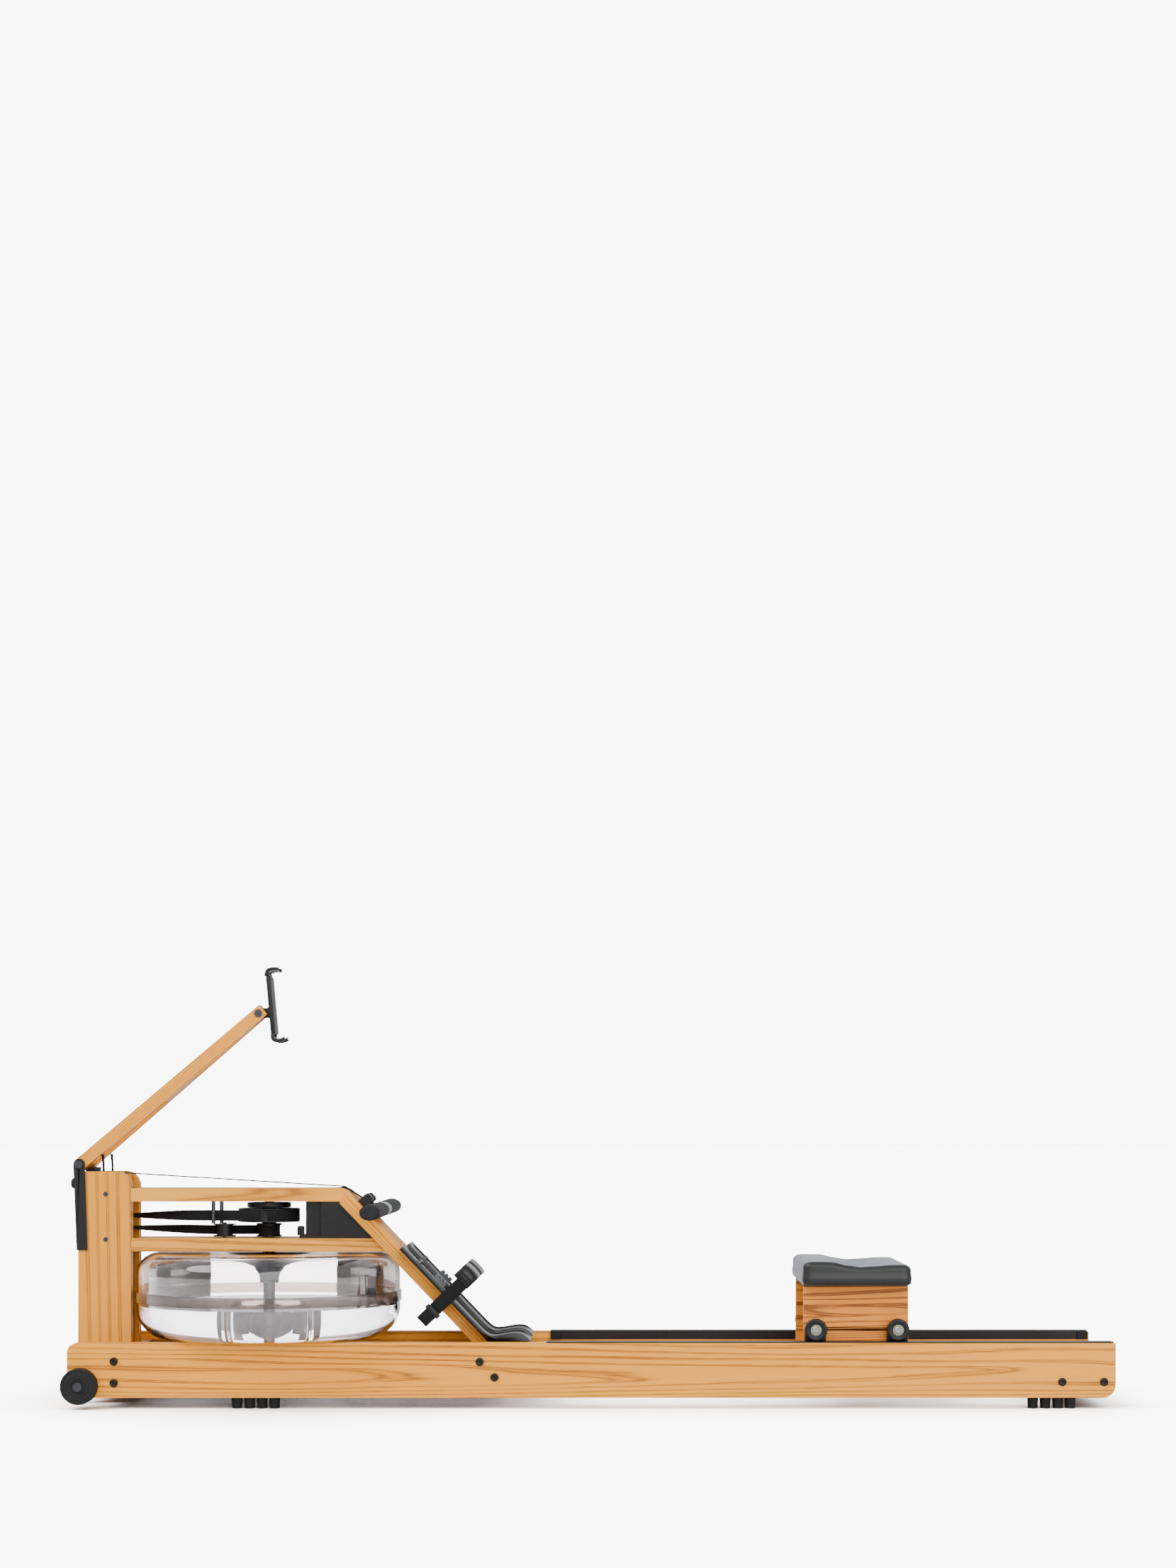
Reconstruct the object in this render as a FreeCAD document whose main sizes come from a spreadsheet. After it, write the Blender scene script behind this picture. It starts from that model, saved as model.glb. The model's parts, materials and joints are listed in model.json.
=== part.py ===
"""Wooden water-resistance rowing machine, as a parametric FreeCAD document.

Frame: +X runs from the water tank to the seat end, +Y is the rower's left,
+Z is up. The origin is on the floor under the middle of the machine.
Every size is a cell of the sheet "Sizes", in millimetres and degrees.
"""
import FreeCAD, Part
import math
import os
import re
import Sketcher

V = FreeCAD.Vector
Turn = FreeCAD.Rotation
X_AXIS = V(1, 0, 0)
Y_AXIS = V(0, 1, 0)
Z_AXIS = V(0, 0, 1)

SIZES = {
    # side rails
    "rail_front": -1041.0, "rail_rear": 1049.0, "rail_bottom": 22.0, "rail_top": 131.0,
    "rail_outer": 162.5, "rail_inner": 132.5, "rail_nose": 20.0, "rail_heel": 26.0, "soft_edge": 3.0,
    # bolts through the rails
    "bolt_head": 8.2, "bolt_head_tall": 5.0, "bolt_shank": 4.0, "bolt_deep": 70.0, "hole_gap": 0.2,
    "front_bolt_x": -947.0, "front_bolt_low": 51.5, "front_bolt_high": 94.6,
    "rear_bolt_z": 53.8, "rear_bolt_a": 942.3, "rear_bolt_b": 1025.6,
    "slope_bolt_w": -34.2, "slope_bolt_a": 427.5, "slope_bolt_b": 470.0,
    # cross spacers
    "spacer_back": 922.0, "spacer_wide": 50.0, "spacer_low": 30.0, "spacer_high": 115.0,
    "anchor_front": -1020.0, "mid_spacer_from": 410.0, "mid_spacer_to": 487.0, "mid_spacer_deep": 50.0,
    "rear_spacer_from": 925.0, "rear_spacer_to": 1040.0, "rear_spacer_low": 38.0, "rear_spacer_high": 70.0,
    # uprights and decks
    "upright_rear": -933.5, "upright_foot": 26.0, "upright_top": 471.0, "upright_curve": 31.0,
    "upright_inner": 31.5, "upright_outer": 56.5,
    "deck_half": 56.5, "top_deck_low": 410.0, "top_deck_high": 436.6, "deck_corner": 29.0,
    "low_deck_low": 308.0, "low_deck_high": 335.0,
    # sloping footboard: its upper end sits at slope_x, slope_z
    "slope_x": -488.9, "slope_z": 426.3, "slope": 46.27, "board_thick": 27.5, "board_long": 500.0,
    "board_half": 70.0,
    # control housing under the top deck
    "housing_front": -547.0, "housing_half": 54.0, "housing_gap": 0.4, "column_front": -580.0,
    "column_half": 40.0, "flange_front": -592.0, "flange_tall": 6.0,
    "sensor_front": -596.0, "sensor_rear": -582.5, "sensor_top": 360.0, "sensor_wide": 12.0,
    # water tank
    "tank_x": -660.0, "tank_r": 268.0, "tank_wall": 3.0, "tank_low": 131.0, "tank_high": 305.0,
    "tank_low_round": 62.0, "tank_high_round": 42.0, "ring_low": 206.0, "ring_high": 227.0,
    "ring_r": 271.0, "water_gap": 0.3, "water_high": 200.0,
    # drive shaft, paddle and bearings
    "shaft_x": -660.0, "shaft_r": 12.0, "shaft_low": 138.0, "shaft_step": 304.0, "shaft_neck": 10.0,
    "shaft_high": 422.0, "run_gap": 0.05, "bearing_r": 16.0, "pivot_r": 20.0, "pivot_high": 140.0,
    "cone_low": 242.0, "cone_a": 19.0, "cone_b": 22.0, "cone_b_z": 262.0, "cone_c": 32.0, "cone_c_z": 280.0,
    "cone_d": 52.0, "cone_d_z": 293.0, "cone_e": 88.0,
    "paddle_r": 75.0, "paddle_hub": 20.0, "paddle_low": 142.0, "paddle_high": 198.0, "paddle_mid": 161.0,
    "paddle_tip": 16.0, "blade_thick": 4.0, "paddle_room": 80.0,
    # drive spool (upper) and recoil spool (lower), one turning piece
    "spool_r": 60.5, "spool_flange": 63.0, "cap_r": 45.0, "cap_low": 397.0, "cap_high": 407.0,
    "spool_low": 367.5, "strap_low": 370.2, "strap_high": 392.6, "spool_high": 395.0,
    "recoil_r": 20.0, "recoil_flange": 26.0, "recoil_low": 337.0, "recoil_strap_low": 340.0,
    "recoil_strap_high": 360.0, "recoil_high": 364.0, "neck_r": 15.0,
    # pulleys between the uprights, and the rollers
    "pulley_x": -985.0, "pulley_z": 425.0, "pulley_r": 43.0, "pulley_flange": 45.8, "pulley_half": 12.0,
    "flange_thick": 2.0, "axle_r": 5.0, "recoil_pulley_z": 333.0, "recoil_pulley_r": 22.0,
    "recoil_pulley_flange": 26.0, "roller_x": -509.0, "roller_z": 427.8, "roller_r": 11.0,
    "roller_half": 13.0, "roller_pin": 3.0, "roller_pin_half": 40.0, "notch_half": 14.0,
    "notch_reach": 12.5, "notch_floor": 414.0,
    "guide_x": -751.0, "guide_y": -3.6, "guide_r": 16.5, "guide_flange": 23.0, "guide_low": 337.5,
    "guide_high": 363.0, "guide_pin": 4.0, "guide_pin_high": 366.0, "post_low": 365.0,
    "post_a_x": -767.0, "post_a_y": -48.0, "post_b_x": -752.0, "post_b_y": -38.4,
    # straps
    "strap_thick": 2.0, "strap_half": 11.0, "strap_lift": 0.3, "recoil_half": 9.5,
    "twist_from": -775.0, "twist_to": -972.0,
    # handle
    "handle_x": -430.0, "handle_z": 393.0, "handle_major": 20.5, "handle_minor": 15.5, "handle_end": 245.0,
    "sleeve_half": 37.0, "sewn_end": 36.0, "sewn_thick": 6.0, "strap_gap": 0.5,
    "rest_from": 22.0, "rest_to": 42.0, "rest_tall": 26.0, "rest_inner": 15.0, "rest_outer": 39.0,
    "rest_round": 6.0,
    # foot plates, pegs and straps, in the slope's own directions
    "plate_inner": 25.0, "plate_outer": 118.0, "plate_from": 154.0, "plate_thick": 9.0, "plate_lift": 0.3,
    "plate_root": 410.6, "heel_low_u": 465.8, "heel_low_w": 58.0, "heel_tip_u": 468.2, "heel_tip_w": 62.7,
    "heel_peak_u": 440.1, "heel_peak_w": 57.9, "heel_dip_u": 410.0, "heel_dip_w": 13.5,
    "foot_y": 71.5, "peg_u": 200.0, "peg_r": 5.0, "peg_tall": 14.0, "slot_slack": 0.5,
    "heel_travel": 35.0, "rib_from": 246.0, "rib_step": 10.0, "rib_r": 5.0, "rib_half": 17.0,
    "rib_base_tall": 5.0,
    "foot_strap_u": 290.0, "foot_strap_half": 14.0, "foot_strap_in": 19.5, "foot_strap_out": 124.0,
    "foot_strap_up": 74.0, "foot_strap_round": 36.0, "foot_strap_thick": 2.5, "under_inner": 50.0,
    "strap_tail_down": 68.0, "strap_tail_thick": 8.0,
    # tablet arm bracket on the uprights
    "bracket_outer": 60.0, "bracket_low": 311.0, "bracket_top_front": -1050.7, "bracket_top_rear": -1027.3,
    "bracket_low_front": -1043.5, "bracket_low_rear": -1021.5, "plate_top": 458.0,
    "hinge_x": -1039.0, "hinge_z": 485.5, "ear_r": 11.7, "pin_r": 4.0, "pin_head": 8.0, "pin_head_thick": 3.0,
    "knob_z": 446.0, "knob_r": 10.5, "knob_front": -1066.0, "knob_back": -1052.6, "knob_stem": 3.0,
    "knob_stem_end": -1036.0, "bumper_front": -1026.0, "bumper_rear": -1012.0, "bumper_low": 464.0,
    "bumper_high": 479.0, "stay_x": -993.0, "stay_y": 45.0, "stay_r": 2.5, "stay_low": 441.0,
    "stay_high": 506.0,
    # tablet arm, in its own directions
    "arm_angle": 40.7, "arm_thick": 25.0, "arm_round": 12.4, "arm_wide_end": 53.0,
    "arm_thin_end": 20.0, "stile": 17.0, "slot_a_from": 17.0, "slot_a_to": 212.0, "slot_b_from": 286.0,
    "slot_b_to": 428.0, "slot_round": 6.0, "tilt_u": 474.0, "fork_from": 452.0, "fork_half": 6.3,
    "tilt_bolt_r": 4.0, "bolt_end": 23.0, "bolt_gap": 0.7,
    # tablet holder, in its own directions from the tilt bolt
    "holder_tilt": 5.05, "tongue_half": 6.0, "tongue_r": 11.0, "neck_half": 10.0, "disc_from": 18.2,
    "disc_r": 12.0, "holder_back": 22.8, "holder_thick": 9.0, "holder_low": -44.6, "holder_high": 73.7,
    "holder_half": 30.0, "stem_from": 25.8, "stem_thick": 3.0, "stem_half": 15.0, "stem_low": 18.0,
    "stem_gap": 0.1, "slot_low": 14.0, "finger_wide": 9.0,
    # seat carriage
    "seat_front": 430.0, "seat_rear": 640.0, "seat_half": 122.5, "seat_board": 18.0, "seat_low": 105.0,
    "seat_top": 242.0, "seat_plate_high": 245.4, "seat_plate_half": 122.0,
    "cushion_front": 424.5, "cushion_rear": 644.0, "cushion_half": 168.0, "cushion_low": 245.4,
    "cushion_hump": 292.5, "cushion_dip": 281.5, "cushion_back": 286.0, "cushion_round": 9.0,
    "seat_wheel_a": 453.0, "seat_wheel_b": 617.0, "seat_wheel_z": 155.9, "seat_wheel_r": 22.4,
    "seat_wheel_in": 139.0, "seat_wheel_out": 155.0, "seat_axle_r": 4.0, "axle_cap_r": 7.0,
    "axle_end": 158.0, "guard_half": 21.0, "guard_low": 134.4, "guard_high": 148.0,
    "guard_out": 136.5, "keeper_low": 116.0, "keeper_out": 128.5,
    # tracks on the rails
    "track_front": -85.5, "track_rear": 1045.5, "track_lip": 133.2, "track_low": 115.0,
    "track_inner": 129.5, "track_outer": 160.0, "stop_long": 22.0, "stop_inner": 126.0,
    # transport wheels and feet
    "roll_x": -1013.6, "roll_z": 46.0, "roll_r": 36.0, "roll_in": 165.0, "roll_out": 189.0,
    "roll_axle": 5.0, "roll_axle_in": 112.0, "roll_cap": 9.0, "roll_cap_out": 193.0,
    "foot_y_place": 147.5, "foot_top_r": 11.0, "foot_low_r": 10.0, "foot_front_x": -703.5,
    "foot_rear_x": 885.7, "foot_step": 24.9,
}

doc = FreeCAD.newDocument("rowing_machine")
sheet = doc.addObject("Spreadsheet::Sheet", "Sizes")
NODES = []
PLANES = {"XZ_Plane": (0, 2, 1), "YZ_Plane": (1, 2, 0), "XY_Plane": (0, 1, 2)}


def fill_sheet():
    """Write every driving size into the sheet, one aliased row each."""
    for row, (alias, number) in enumerate(SIZES.items(), start=1):
        sheet.set(f"A{row}", alias)
        sheet.set(f"B{row}", repr(number))
        sheet.setAlias(f"B{row}", alias)
    doc.recompute()


def bound(text):
    """Turn 'rail_top + 3' into 'Sizes.rail_top + 3', the form expressions need."""
    return re.sub(r"[a-z][a-z_]*", lambda m: ("Sizes." if m.group() in SIZES else "") + m.group(), text)


def value(text):
    """The number that a size expression gives now."""
    return float(sheet.evalExpression(bound(text)))


def bind(obj, prop, text):
    """Set a property to a size expression."""
    obj.setExpression(prop, bound(text))


def rod_x(name, radius, y, z, x_from, x_to):
    """A cylinder along X between two planes."""
    obj = doc.addObject("Part::Cylinder", name)
    bind(obj, "Radius", radius)
    bind(obj, "Height", f"{x_to} - ({x_from})")
    return place(obj, x_from, y, z, Y_AXIS, "90")


def place(obj, x="0", y="0", z="0", axis=None, angle="0"):
    """Put an object at a bound position, turned about one axis by a bound angle."""
    turn = Turn(axis, value(angle)) if axis else Turn()
    obj.Placement = FreeCAD.Placement(V(value(x), value(y), value(z)), turn)
    for name, text in zip("xyz", (x, y, z)):
        bind(obj, "Placement.Base." + name, text)
    if axis:
        bind(obj, "Placement.Rotation.Angle", angle)
    return obj


def on_slope(obj, u, y, w):
    """Place in the footboard's directions: u down the slope, w out of its upper face."""
    x = f"slope_x + ({u}) * cos(slope) + ({w}) * sin(slope)"
    z = f"slope_z - ({u}) * sin(slope) + ({w}) * cos(slope)"
    return place(obj, x, y, z, Y_AXIS, "slope")


def on_arm(obj, u, y, w):
    """Place in the tablet arm's directions: u along the arm, w above it."""
    x = f"hinge_x + ({u}) * cos(arm_angle) - ({w}) * sin(arm_angle)"
    z = f"hinge_z + ({u}) * sin(arm_angle) + ({w}) * cos(arm_angle)"
    return place(obj, x, y, z, -Y_AXIS, "arm_angle")


def on_holder(obj, u, y, w):
    """Place in the tablet holder's directions, measured from the tilt bolt."""
    bolt_x = "hinge_x + tilt_u * cos(arm_angle)"
    bolt_z = "hinge_z + tilt_u * sin(arm_angle)"
    x = f"{bolt_x} + ({u}) * cos(holder_tilt) - ({w}) * sin(holder_tilt)"
    z = f"{bolt_z} + ({u}) * sin(holder_tilt) + ({w}) * cos(holder_tilt)"
    return place(obj, x, y, z, -Y_AXIS, "holder_tilt")


def box(name, long, wide, tall):
    """A bound box with its low corner at its own origin."""
    obj = doc.addObject("Part::Box", name)
    bind(obj, "Length", long)
    bind(obj, "Width", wide)
    bind(obj, "Height", tall)
    return obj


def block(name, x_from, x_to, y_from, y_to, z_from, z_to):
    """A bound box between six planes."""
    obj = box(name, f"{x_to} - ({x_from})", f"{y_to} - ({y_from})", f"{z_to} - ({z_from})")
    return place(obj, x_from, y_from, z_from)


def rod(name, radius, x, z, y_from, y_to):
    """A cylinder along Y between two planes."""
    obj = doc.addObject("Part::Cylinder", name)
    bind(obj, "Radius", radius)
    bind(obj, "Height", f"{y_to} - ({y_from})")
    return place(obj, x, y_from, z, -X_AXIS, "90")


def post(name, radius, x, y, z_from, z_to):
    """A cylinder along Z between two planes."""
    obj = doc.addObject("Part::Cylinder", name)
    bind(obj, "Radius", radius)
    bind(obj, "Height", f"{z_to} - ({z_from})")
    return place(obj, x, y, z_from)


def fix_point(sketch, line, x, z):
    """Hold the first end of a sketch line at a bound position."""
    for kind, text, axis in (("DistanceX", x, -2), ("DistanceY", z, -1)):
        number = value(text)
        if abs(number) < 1e-9:
            sketch.addConstraint(Sketcher.Constraint("PointOnObject", line, 1, axis))
        else:
            index = sketch.addConstraint(Sketcher.Constraint(kind, -1, 1, line, 1, number))
            sketch.setExpression(f"Constraints[{index}]", bound(text))


def outline(body, name, corners, plane="XZ_Plane"):
    """A closed sketch through bound corners on one of the body's own planes."""
    sketch = body.newObject("Sketcher::SketchObject", name + "_sketch")
    support = [item for item in body.Origin.OriginFeatures if item.Role == plane][0]
    sketch.AttachmentSupport = [(support, "")]
    sketch.MapMode = "FlatFace"
    points = [V(value(x), value(z), 0) for x, z in corners]
    count = len(points)
    for i in range(count):
        sketch.addGeometry(Part.LineSegment(points[i], points[(i + 1) % count]))
    for i in range(count):
        sketch.addConstraint(Sketcher.Constraint("Coincident", i, 2, (i + 1) % count, 1))
    for i, (x, z) in enumerate(corners):
        fix_point(sketch, i, x, z)
    return sketch


def straight_edges(shape, spots, plane):
    """Names of the edges square to a sketch plane at the given sketch spots."""
    first, second, across = PLANES[plane]
    names = []
    for number, edge in enumerate(shape.Edges, start=1):
        ends = [vertex.Point for vertex in edge.Vertexes]
        if len(ends) == 2 and abs(ends[0][across] - ends[1][across]) > 0.99 * edge.Length:
            near = [math.hypot(ends[0][first] - x, ends[0][second] - z) for x, z in spots]
            if min(near) < 1e-3:
                names.append(f"Edge{number}")
    return names


def round_edges(shape, spots, plane):
    """Names of the circular edges about Z at the given (radius, height) spots."""
    names = []
    for number, edge in enumerate(shape.Edges, start=1):
        if isinstance(edge.Curve, Part.Circle):
            size, height = edge.Curve.Radius, edge.Curve.Center[PLANES[plane][1]]
            if min(math.hypot(size - r, height - z) for r, z in spots) < 1e-3:
                names.append(f"Edge{number}")
    return names


def smooth(body, base, finder, corners, rounds, plane="XZ_Plane"):
    """Fillet the edges that start at some of an outline's corners."""
    for step, (picks, radius) in enumerate(rounds):
        doc.recompute()
        spots = [(value(corners[i][0]), value(corners[i][1])) for i in picks]
        edges = finder(base.Shape, spots, plane)
        fillet = body.newObject("PartDesign::Fillet", f"{body.Name}_round_{step}")
        fillet.Base = (base, edges)
        bind(fillet, "Radius", radius)
        base = fillet
    body.Tip = base


def profile(name, corners, width, rounds=(), plane="XZ_Plane"):
    """A body padded both ways from an outline of corners on one of its planes."""
    body = doc.addObject("PartDesign::Body", name)
    sketch = outline(body, name, corners, plane)
    pad = body.newObject("PartDesign::Pad", name + "_pad")
    pad.Profile = sketch
    pad.Midplane = True
    bind(pad, "Length", width)
    smooth(body, pad, straight_edges, corners, rounds, plane)
    return body


def turned(name, corners, rounds=()):
    """A body turned about its own Z axis from an outline of (radius, z) corners."""
    body = doc.addObject("PartDesign::Body", name)
    sketch = outline(body, name, corners)
    turn = body.newObject("PartDesign::Revolution", name + "_turn")
    turn.Profile = sketch
    turn.ReferenceAxis = (sketch, ["V_Axis"])
    turn.Angle = 360
    smooth(body, turn, round_edges, corners, rounds)
    return body


def join(name, *pieces):
    """One solid from touching pieces."""
    obj = doc.addObject("Part::MultiFuse", name)
    obj.Shapes = list(pieces)
    return obj


def group(name, *pieces):
    """Separate solids that share one node."""
    obj = doc.addObject("Part::Compound", name)
    obj.Links = list(pieces)
    return obj


def cut(name, base, *tools):
    """A piece with openings taken out of it."""
    obj = doc.addObject("Part::Cut", name)
    obj.Base = base
    obj.Tool = tools[0] if len(tools) == 1 else join(name + "_tools", *tools)
    return obj


def node(label, obj):
    """Register a finished sub-part under its own label."""
    obj.Label = label
    NODES.append(obj)
    return obj


# ---------------------------------------------------------------- rails and cross members

def bolt_spots():
    """Where bolts pass through each side rail, as (x, z) expressions."""
    spots = [("front_bolt_x", "front_bolt_low"), ("front_bolt_x", "front_bolt_high")]
    for u in ("slope_bolt_a", "slope_bolt_b"):
        x = f"slope_x + {u} * cos(slope) + slope_bolt_w * sin(slope)"
        z = f"slope_z - {u} * sin(slope) + slope_bolt_w * cos(slope)"
        spots.append((x, z))
    spots += [("rear_bolt_a", "rear_bolt_z"), ("rear_bolt_b", "rear_bolt_z")]
    return spots


def bolt_holes(name, x, z):
    """One bolt's clearance through a whole machine width, left out of the middle."""
    ends = []
    for side, (low, high) in (("a", ("-rail_outer - 1", "bolt_deep - rail_outer")),
                              ("b", ("rail_outer - bolt_deep", "rail_outer + 1"))):
        ends.append(rod(f"{name}_{side}", "bolt_shank + hole_gap", x, z, low, high))
    return ends


def drill(name, base, spots):
    """Drill bolt clearance holes at the given spots."""
    tools = []
    for i, (x, z) in enumerate(spots):
        tools += bolt_holes(f"{name}_hole_{i}", x, z)
    return cut(name + "_drilled", base, *tools)


def make_rails():
    """Two solid wood side rails with a rounded nose and heel."""
    corners = [("rail_front", "rail_bottom"), ("rail_rear", "rail_bottom"),
               ("rail_rear", "rail_top"), ("rail_front", "rail_top")]
    rounds = [([3], "rail_nose"), ([1], "rail_heel"), ([0, 2], "soft_edge")]
    for side, sign in (("left", ""), ("right", "-")):
        name = "rail_" + side
        rail = profile(name + "_body", corners, "rail_outer - rail_inner", rounds)
        middle = f"{sign}(rail_outer + rail_inner) / 2"
        place(rail, y=middle)
        axle_hole = rod(name + "_axle_hole", "roll_axle + run_gap", "roll_x", "roll_z",
                        middle + " - 20", middle + " + 20")
        node(name, cut(name + "_cut", drill(name, rail, bolt_spots()), axle_hole))


def make_spacers():
    """Cross members that tie the rails together at the bolts."""
    low, high = "spacer_low", "spacer_high"
    back, front = "-spacer_back", "-spacer_back - spacer_wide"
    left = block("front_spacer_left", front, back, "upright_outer", "rail_inner", low, high)
    right = block("front_spacer_right", front, back, "-rail_inner", "-upright_outer", low, high)
    middle = block("front_spacer_middle", "anchor_front", back, "-upright_inner", "upright_inner", low, high)
    sides = group("front_spacer_sides", left, right)
    node("front_spacers", group("front_spacer_set", drill("front_spacer", sides, bolt_spots()[:2]), middle))

    middle = box("mid_spacer_block", "mid_spacer_to - mid_spacer_from", "2 * rail_inner",
                 "mid_spacer_deep - board_thick")
    on_slope(middle, "mid_spacer_from", "-rail_inner", "-mid_spacer_deep")

    rear = block("rear_spacer_block", "rear_spacer_from", "rear_spacer_to", "-rail_inner", "rail_inner",
                 "rear_spacer_low", "rear_spacer_high")
    node("rear_spacers", group("rear_spacer_set", drill("mid_spacer", middle, bolt_spots()[2:4]),
                               drill("rear_spacer", rear, bolt_spots()[4:])))


def make_bolts():
    """Socket-head bolts: a head outside each rail and a shank into the spacer."""
    pieces = []
    for i, (x, z) in enumerate(bolt_spots()):
        for side, sign in (("left", 1), ("right", -1)):
            bolt = turned(f"bolt_{side}_{i}", [
                ("0", "rail_outer - bolt_deep + 2"), ("bolt_shank", "rail_outer - bolt_deep + 2"),
                ("bolt_shank", "rail_outer"), ("bolt_head", "rail_outer"),
                ("bolt_head", "rail_outer + bolt_head_tall"), ("0", "rail_outer + bolt_head_tall")])
            pieces.append(place(bolt, x, "0", z, -X_AXIS * sign, "90"))
    node("rail_bolts", group("rail_bolt_set", *pieces))


def make_feet():
    """Four rubber studs in a row under each end of each rail."""
    studs = []
    for end in ("front", "rear"):
        for sign in ("", "-"):
            for i in range(4):
                stud = doc.addObject("Part::Cone", f"stud_{end}_{'r' if sign else 'l'}_{i}")
                bind(stud, "Radius1", "foot_low_r")
                bind(stud, "Radius2", "foot_top_r")
                bind(stud, "Height", "rail_bottom")
                studs.append(place(stud, f"foot_{end}_x + {i} * foot_step", f"{sign}foot_y_place", "0"))
    node("rubber_feet", group("rubber_foot_set", *studs))


def make_tracks():
    """L-shaped runner strips on the rails, with screwed end stops."""
    tracks, stops = [], []
    for side, sign in (("left", 1), ("right", -1)):
        ys = sorted([("track_inner", 1), ("track_outer", 2)], key=lambda item: item[1] * sign)
        low, high = (("" if sign > 0 else "-") + text for text, _ in ys)
        lip = block(f"track_lip_{side}", "track_front", "track_rear", low, high, "rail_top", "track_lip")
        near = ("track_inner", "rail_inner") if sign > 0 else ("-rail_inner", "-track_inner")
        flange = block(f"track_flange_{side}", "track_front", "track_rear", *near, "track_low", "rail_top")
        tracks.append(join(f"track_{side}_joined", lip, flange))
        near = ("stop_inner", "track_inner") if sign > 0 else ("-track_inner", "-stop_inner")
        for end, (x_from, x_to) in (("front", ("track_front", "track_front + stop_long")),
                                    ("rear", ("track_rear - stop_long", "track_rear"))):
            stops.append(block(f"stop_{side}_{end}", x_from, x_to, *near, "track_low", "rail_top"))
    node("tracks", group("track_pair", *tracks))
    node("track_stops", group("track_stop_set", *stops))


def make_transport_wheels():
    """Two wheels outside the front of the rails; gives back their stub axles."""
    stubs = []
    for side, sign in (("left", 1), ("right", -1)):
        wheel = turned("transport_wheel_" + side + "_body", [
            ("roll_axle + run_gap", "roll_in"), ("roll_r", "roll_in"), ("roll_r", "roll_out"),
            ("roll_axle + run_gap", "roll_out")], [([1, 2], "soft_edge")])
        node("transport_wheel_" + side, place(wheel, "roll_x", "0", "roll_z", -X_AXIS * sign, "90"))
        stub = turned("stub_axle_" + side, [
            ("0", "roll_axle_in"), ("roll_axle", "roll_axle_in"), ("roll_axle", "roll_out + 0.3"),
            ("roll_cap", "roll_out + 0.3"), ("roll_cap", "roll_cap_out"), ("0", "roll_cap_out")])
        stubs.append(place(stub, "roll_x", "0", "roll_z", -X_AXIS * sign, "90"))
    return stubs


# ---------------------------------------------------------------- front housing

def make_uprights():
    """Two boards between the rails that carry the pulleys and the decks."""
    corners = [("rail_front", "upright_foot"), ("upright_rear", "upright_foot"),
               ("upright_rear", "upright_top"), ("rail_front", "upright_top")]
    rounds = [([2], "upright_curve"), ([3], "soft_edge")]
    for side, sign in (("left", ""), ("right", "-")):
        name = "upright_" + side
        board = profile(name + "_body", corners, "upright_outer - upright_inner", rounds)
        place(board, y=f"{sign}(upright_inner + upright_outer) / 2")
        holes = [rod(f"{name}_axle_{i}", "axle_r", "pulley_x", z, "-upright_outer - 1", "upright_outer + 1")
                 for i, z in enumerate(("pulley_z", "recoil_pulley_z"))]
        stay = post(name + "_stay", "stay_r + 0.3", "stay_x", f"{sign}stay_y", "stay_low", "upright_top + 1")
        node(name, cut(name + "_cut", board, *holes, stay))


def under_board(z):
    """X of the footboard's lower face at a height."""
    return ("slope_x - board_thick * sin(slope)"
            f" + (slope_z - board_thick * cos(slope) - ({z})) * cos(slope) / sin(slope)")


def make_decks():
    """Top and lower decks between the uprights and the footboard."""
    corners = [("upright_rear", "top_deck_low"),
               ("slope_x - (slope_z - top_deck_low) * sin(slope) / cos(slope)", "top_deck_low"),
               ("slope_x", "slope_z"),
               ("slope_x - (top_deck_high - slope_z) * cos(slope) / sin(slope)", "top_deck_high"),
               ("upright_rear", "top_deck_high")]
    deck = profile("top_deck_body", corners, "2 * deck_half", [([3], "deck_corner")])
    notch = block("roller_notch", "roller_x - notch_reach", "roller_x + notch_reach", "-notch_half",
                  "notch_half", "notch_floor", "top_deck_high + 5")
    pin = rod("roller_pin_hole", "roller_pin", "roller_x", "roller_z", "-roller_pin_half", "roller_pin_half")
    pocket = post("bearing_pocket", "bearing_r", "shaft_x", "0", "top_deck_low - 1", "shaft_high + 1")
    node("top_deck", cut("top_deck_cut", deck, notch, pin, pocket))

    corners = [("upright_rear", "low_deck_low"), (under_board("low_deck_low"), "low_deck_low"),
               (under_board("low_deck_high"), "low_deck_high"), ("upright_rear", "low_deck_high")]
    deck = profile("lower_deck_body", corners, "2 * deck_half")
    hole = post("shaft_hole", "bearing_r", "shaft_x", "0", "low_deck_low - 1", "low_deck_high + 1")
    node("lower_deck", cut("lower_deck_cut", deck, hole))


def make_footboard():
    """The sloping board from the top deck down between the rails."""
    board = box("footboard_block", "board_long", "2 * board_half", "board_thick")
    node("footboard", on_slope(board, "0", "-board_half", "-board_thick"))


def make_housing():
    """Control housing under the top deck, with its column and base flange."""
    high = "top_deck_low - housing_gap"
    corners = [("housing_front", "low_deck_high"), (under_board("low_deck_high") + " - 1", "low_deck_high"),
               (under_board(high) + " - 1", high), ("housing_front", high)]
    cover = profile("housing_cover", corners, "2 * housing_half")
    column = block("housing_column", "column_front", "housing_front", "-column_half", "column_half",
                   "low_deck_high", high)
    flange = block("housing_flange", "flange_front", "housing_front", "-housing_half + 4", "housing_half - 4",
                   "low_deck_high", "low_deck_high + flange_tall")
    node("control_housing", join("housing_joined", cover, column, flange))
    foot = "low_deck_high + flange_tall"
    corners = [("sensor_front", foot), ("sensor_rear", foot), ("sensor_rear", "sensor_top"),
               ("sensor_front", "sensor_top")]
    sensor = profile("speed_sensor_body", corners, "sensor_wide", [([2, 3], "soft_edge")])
    node("speed_sensor", place(sensor, y="-deck_half + sensor_wide"))


# ---------------------------------------------------------------- tank and drive

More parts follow.
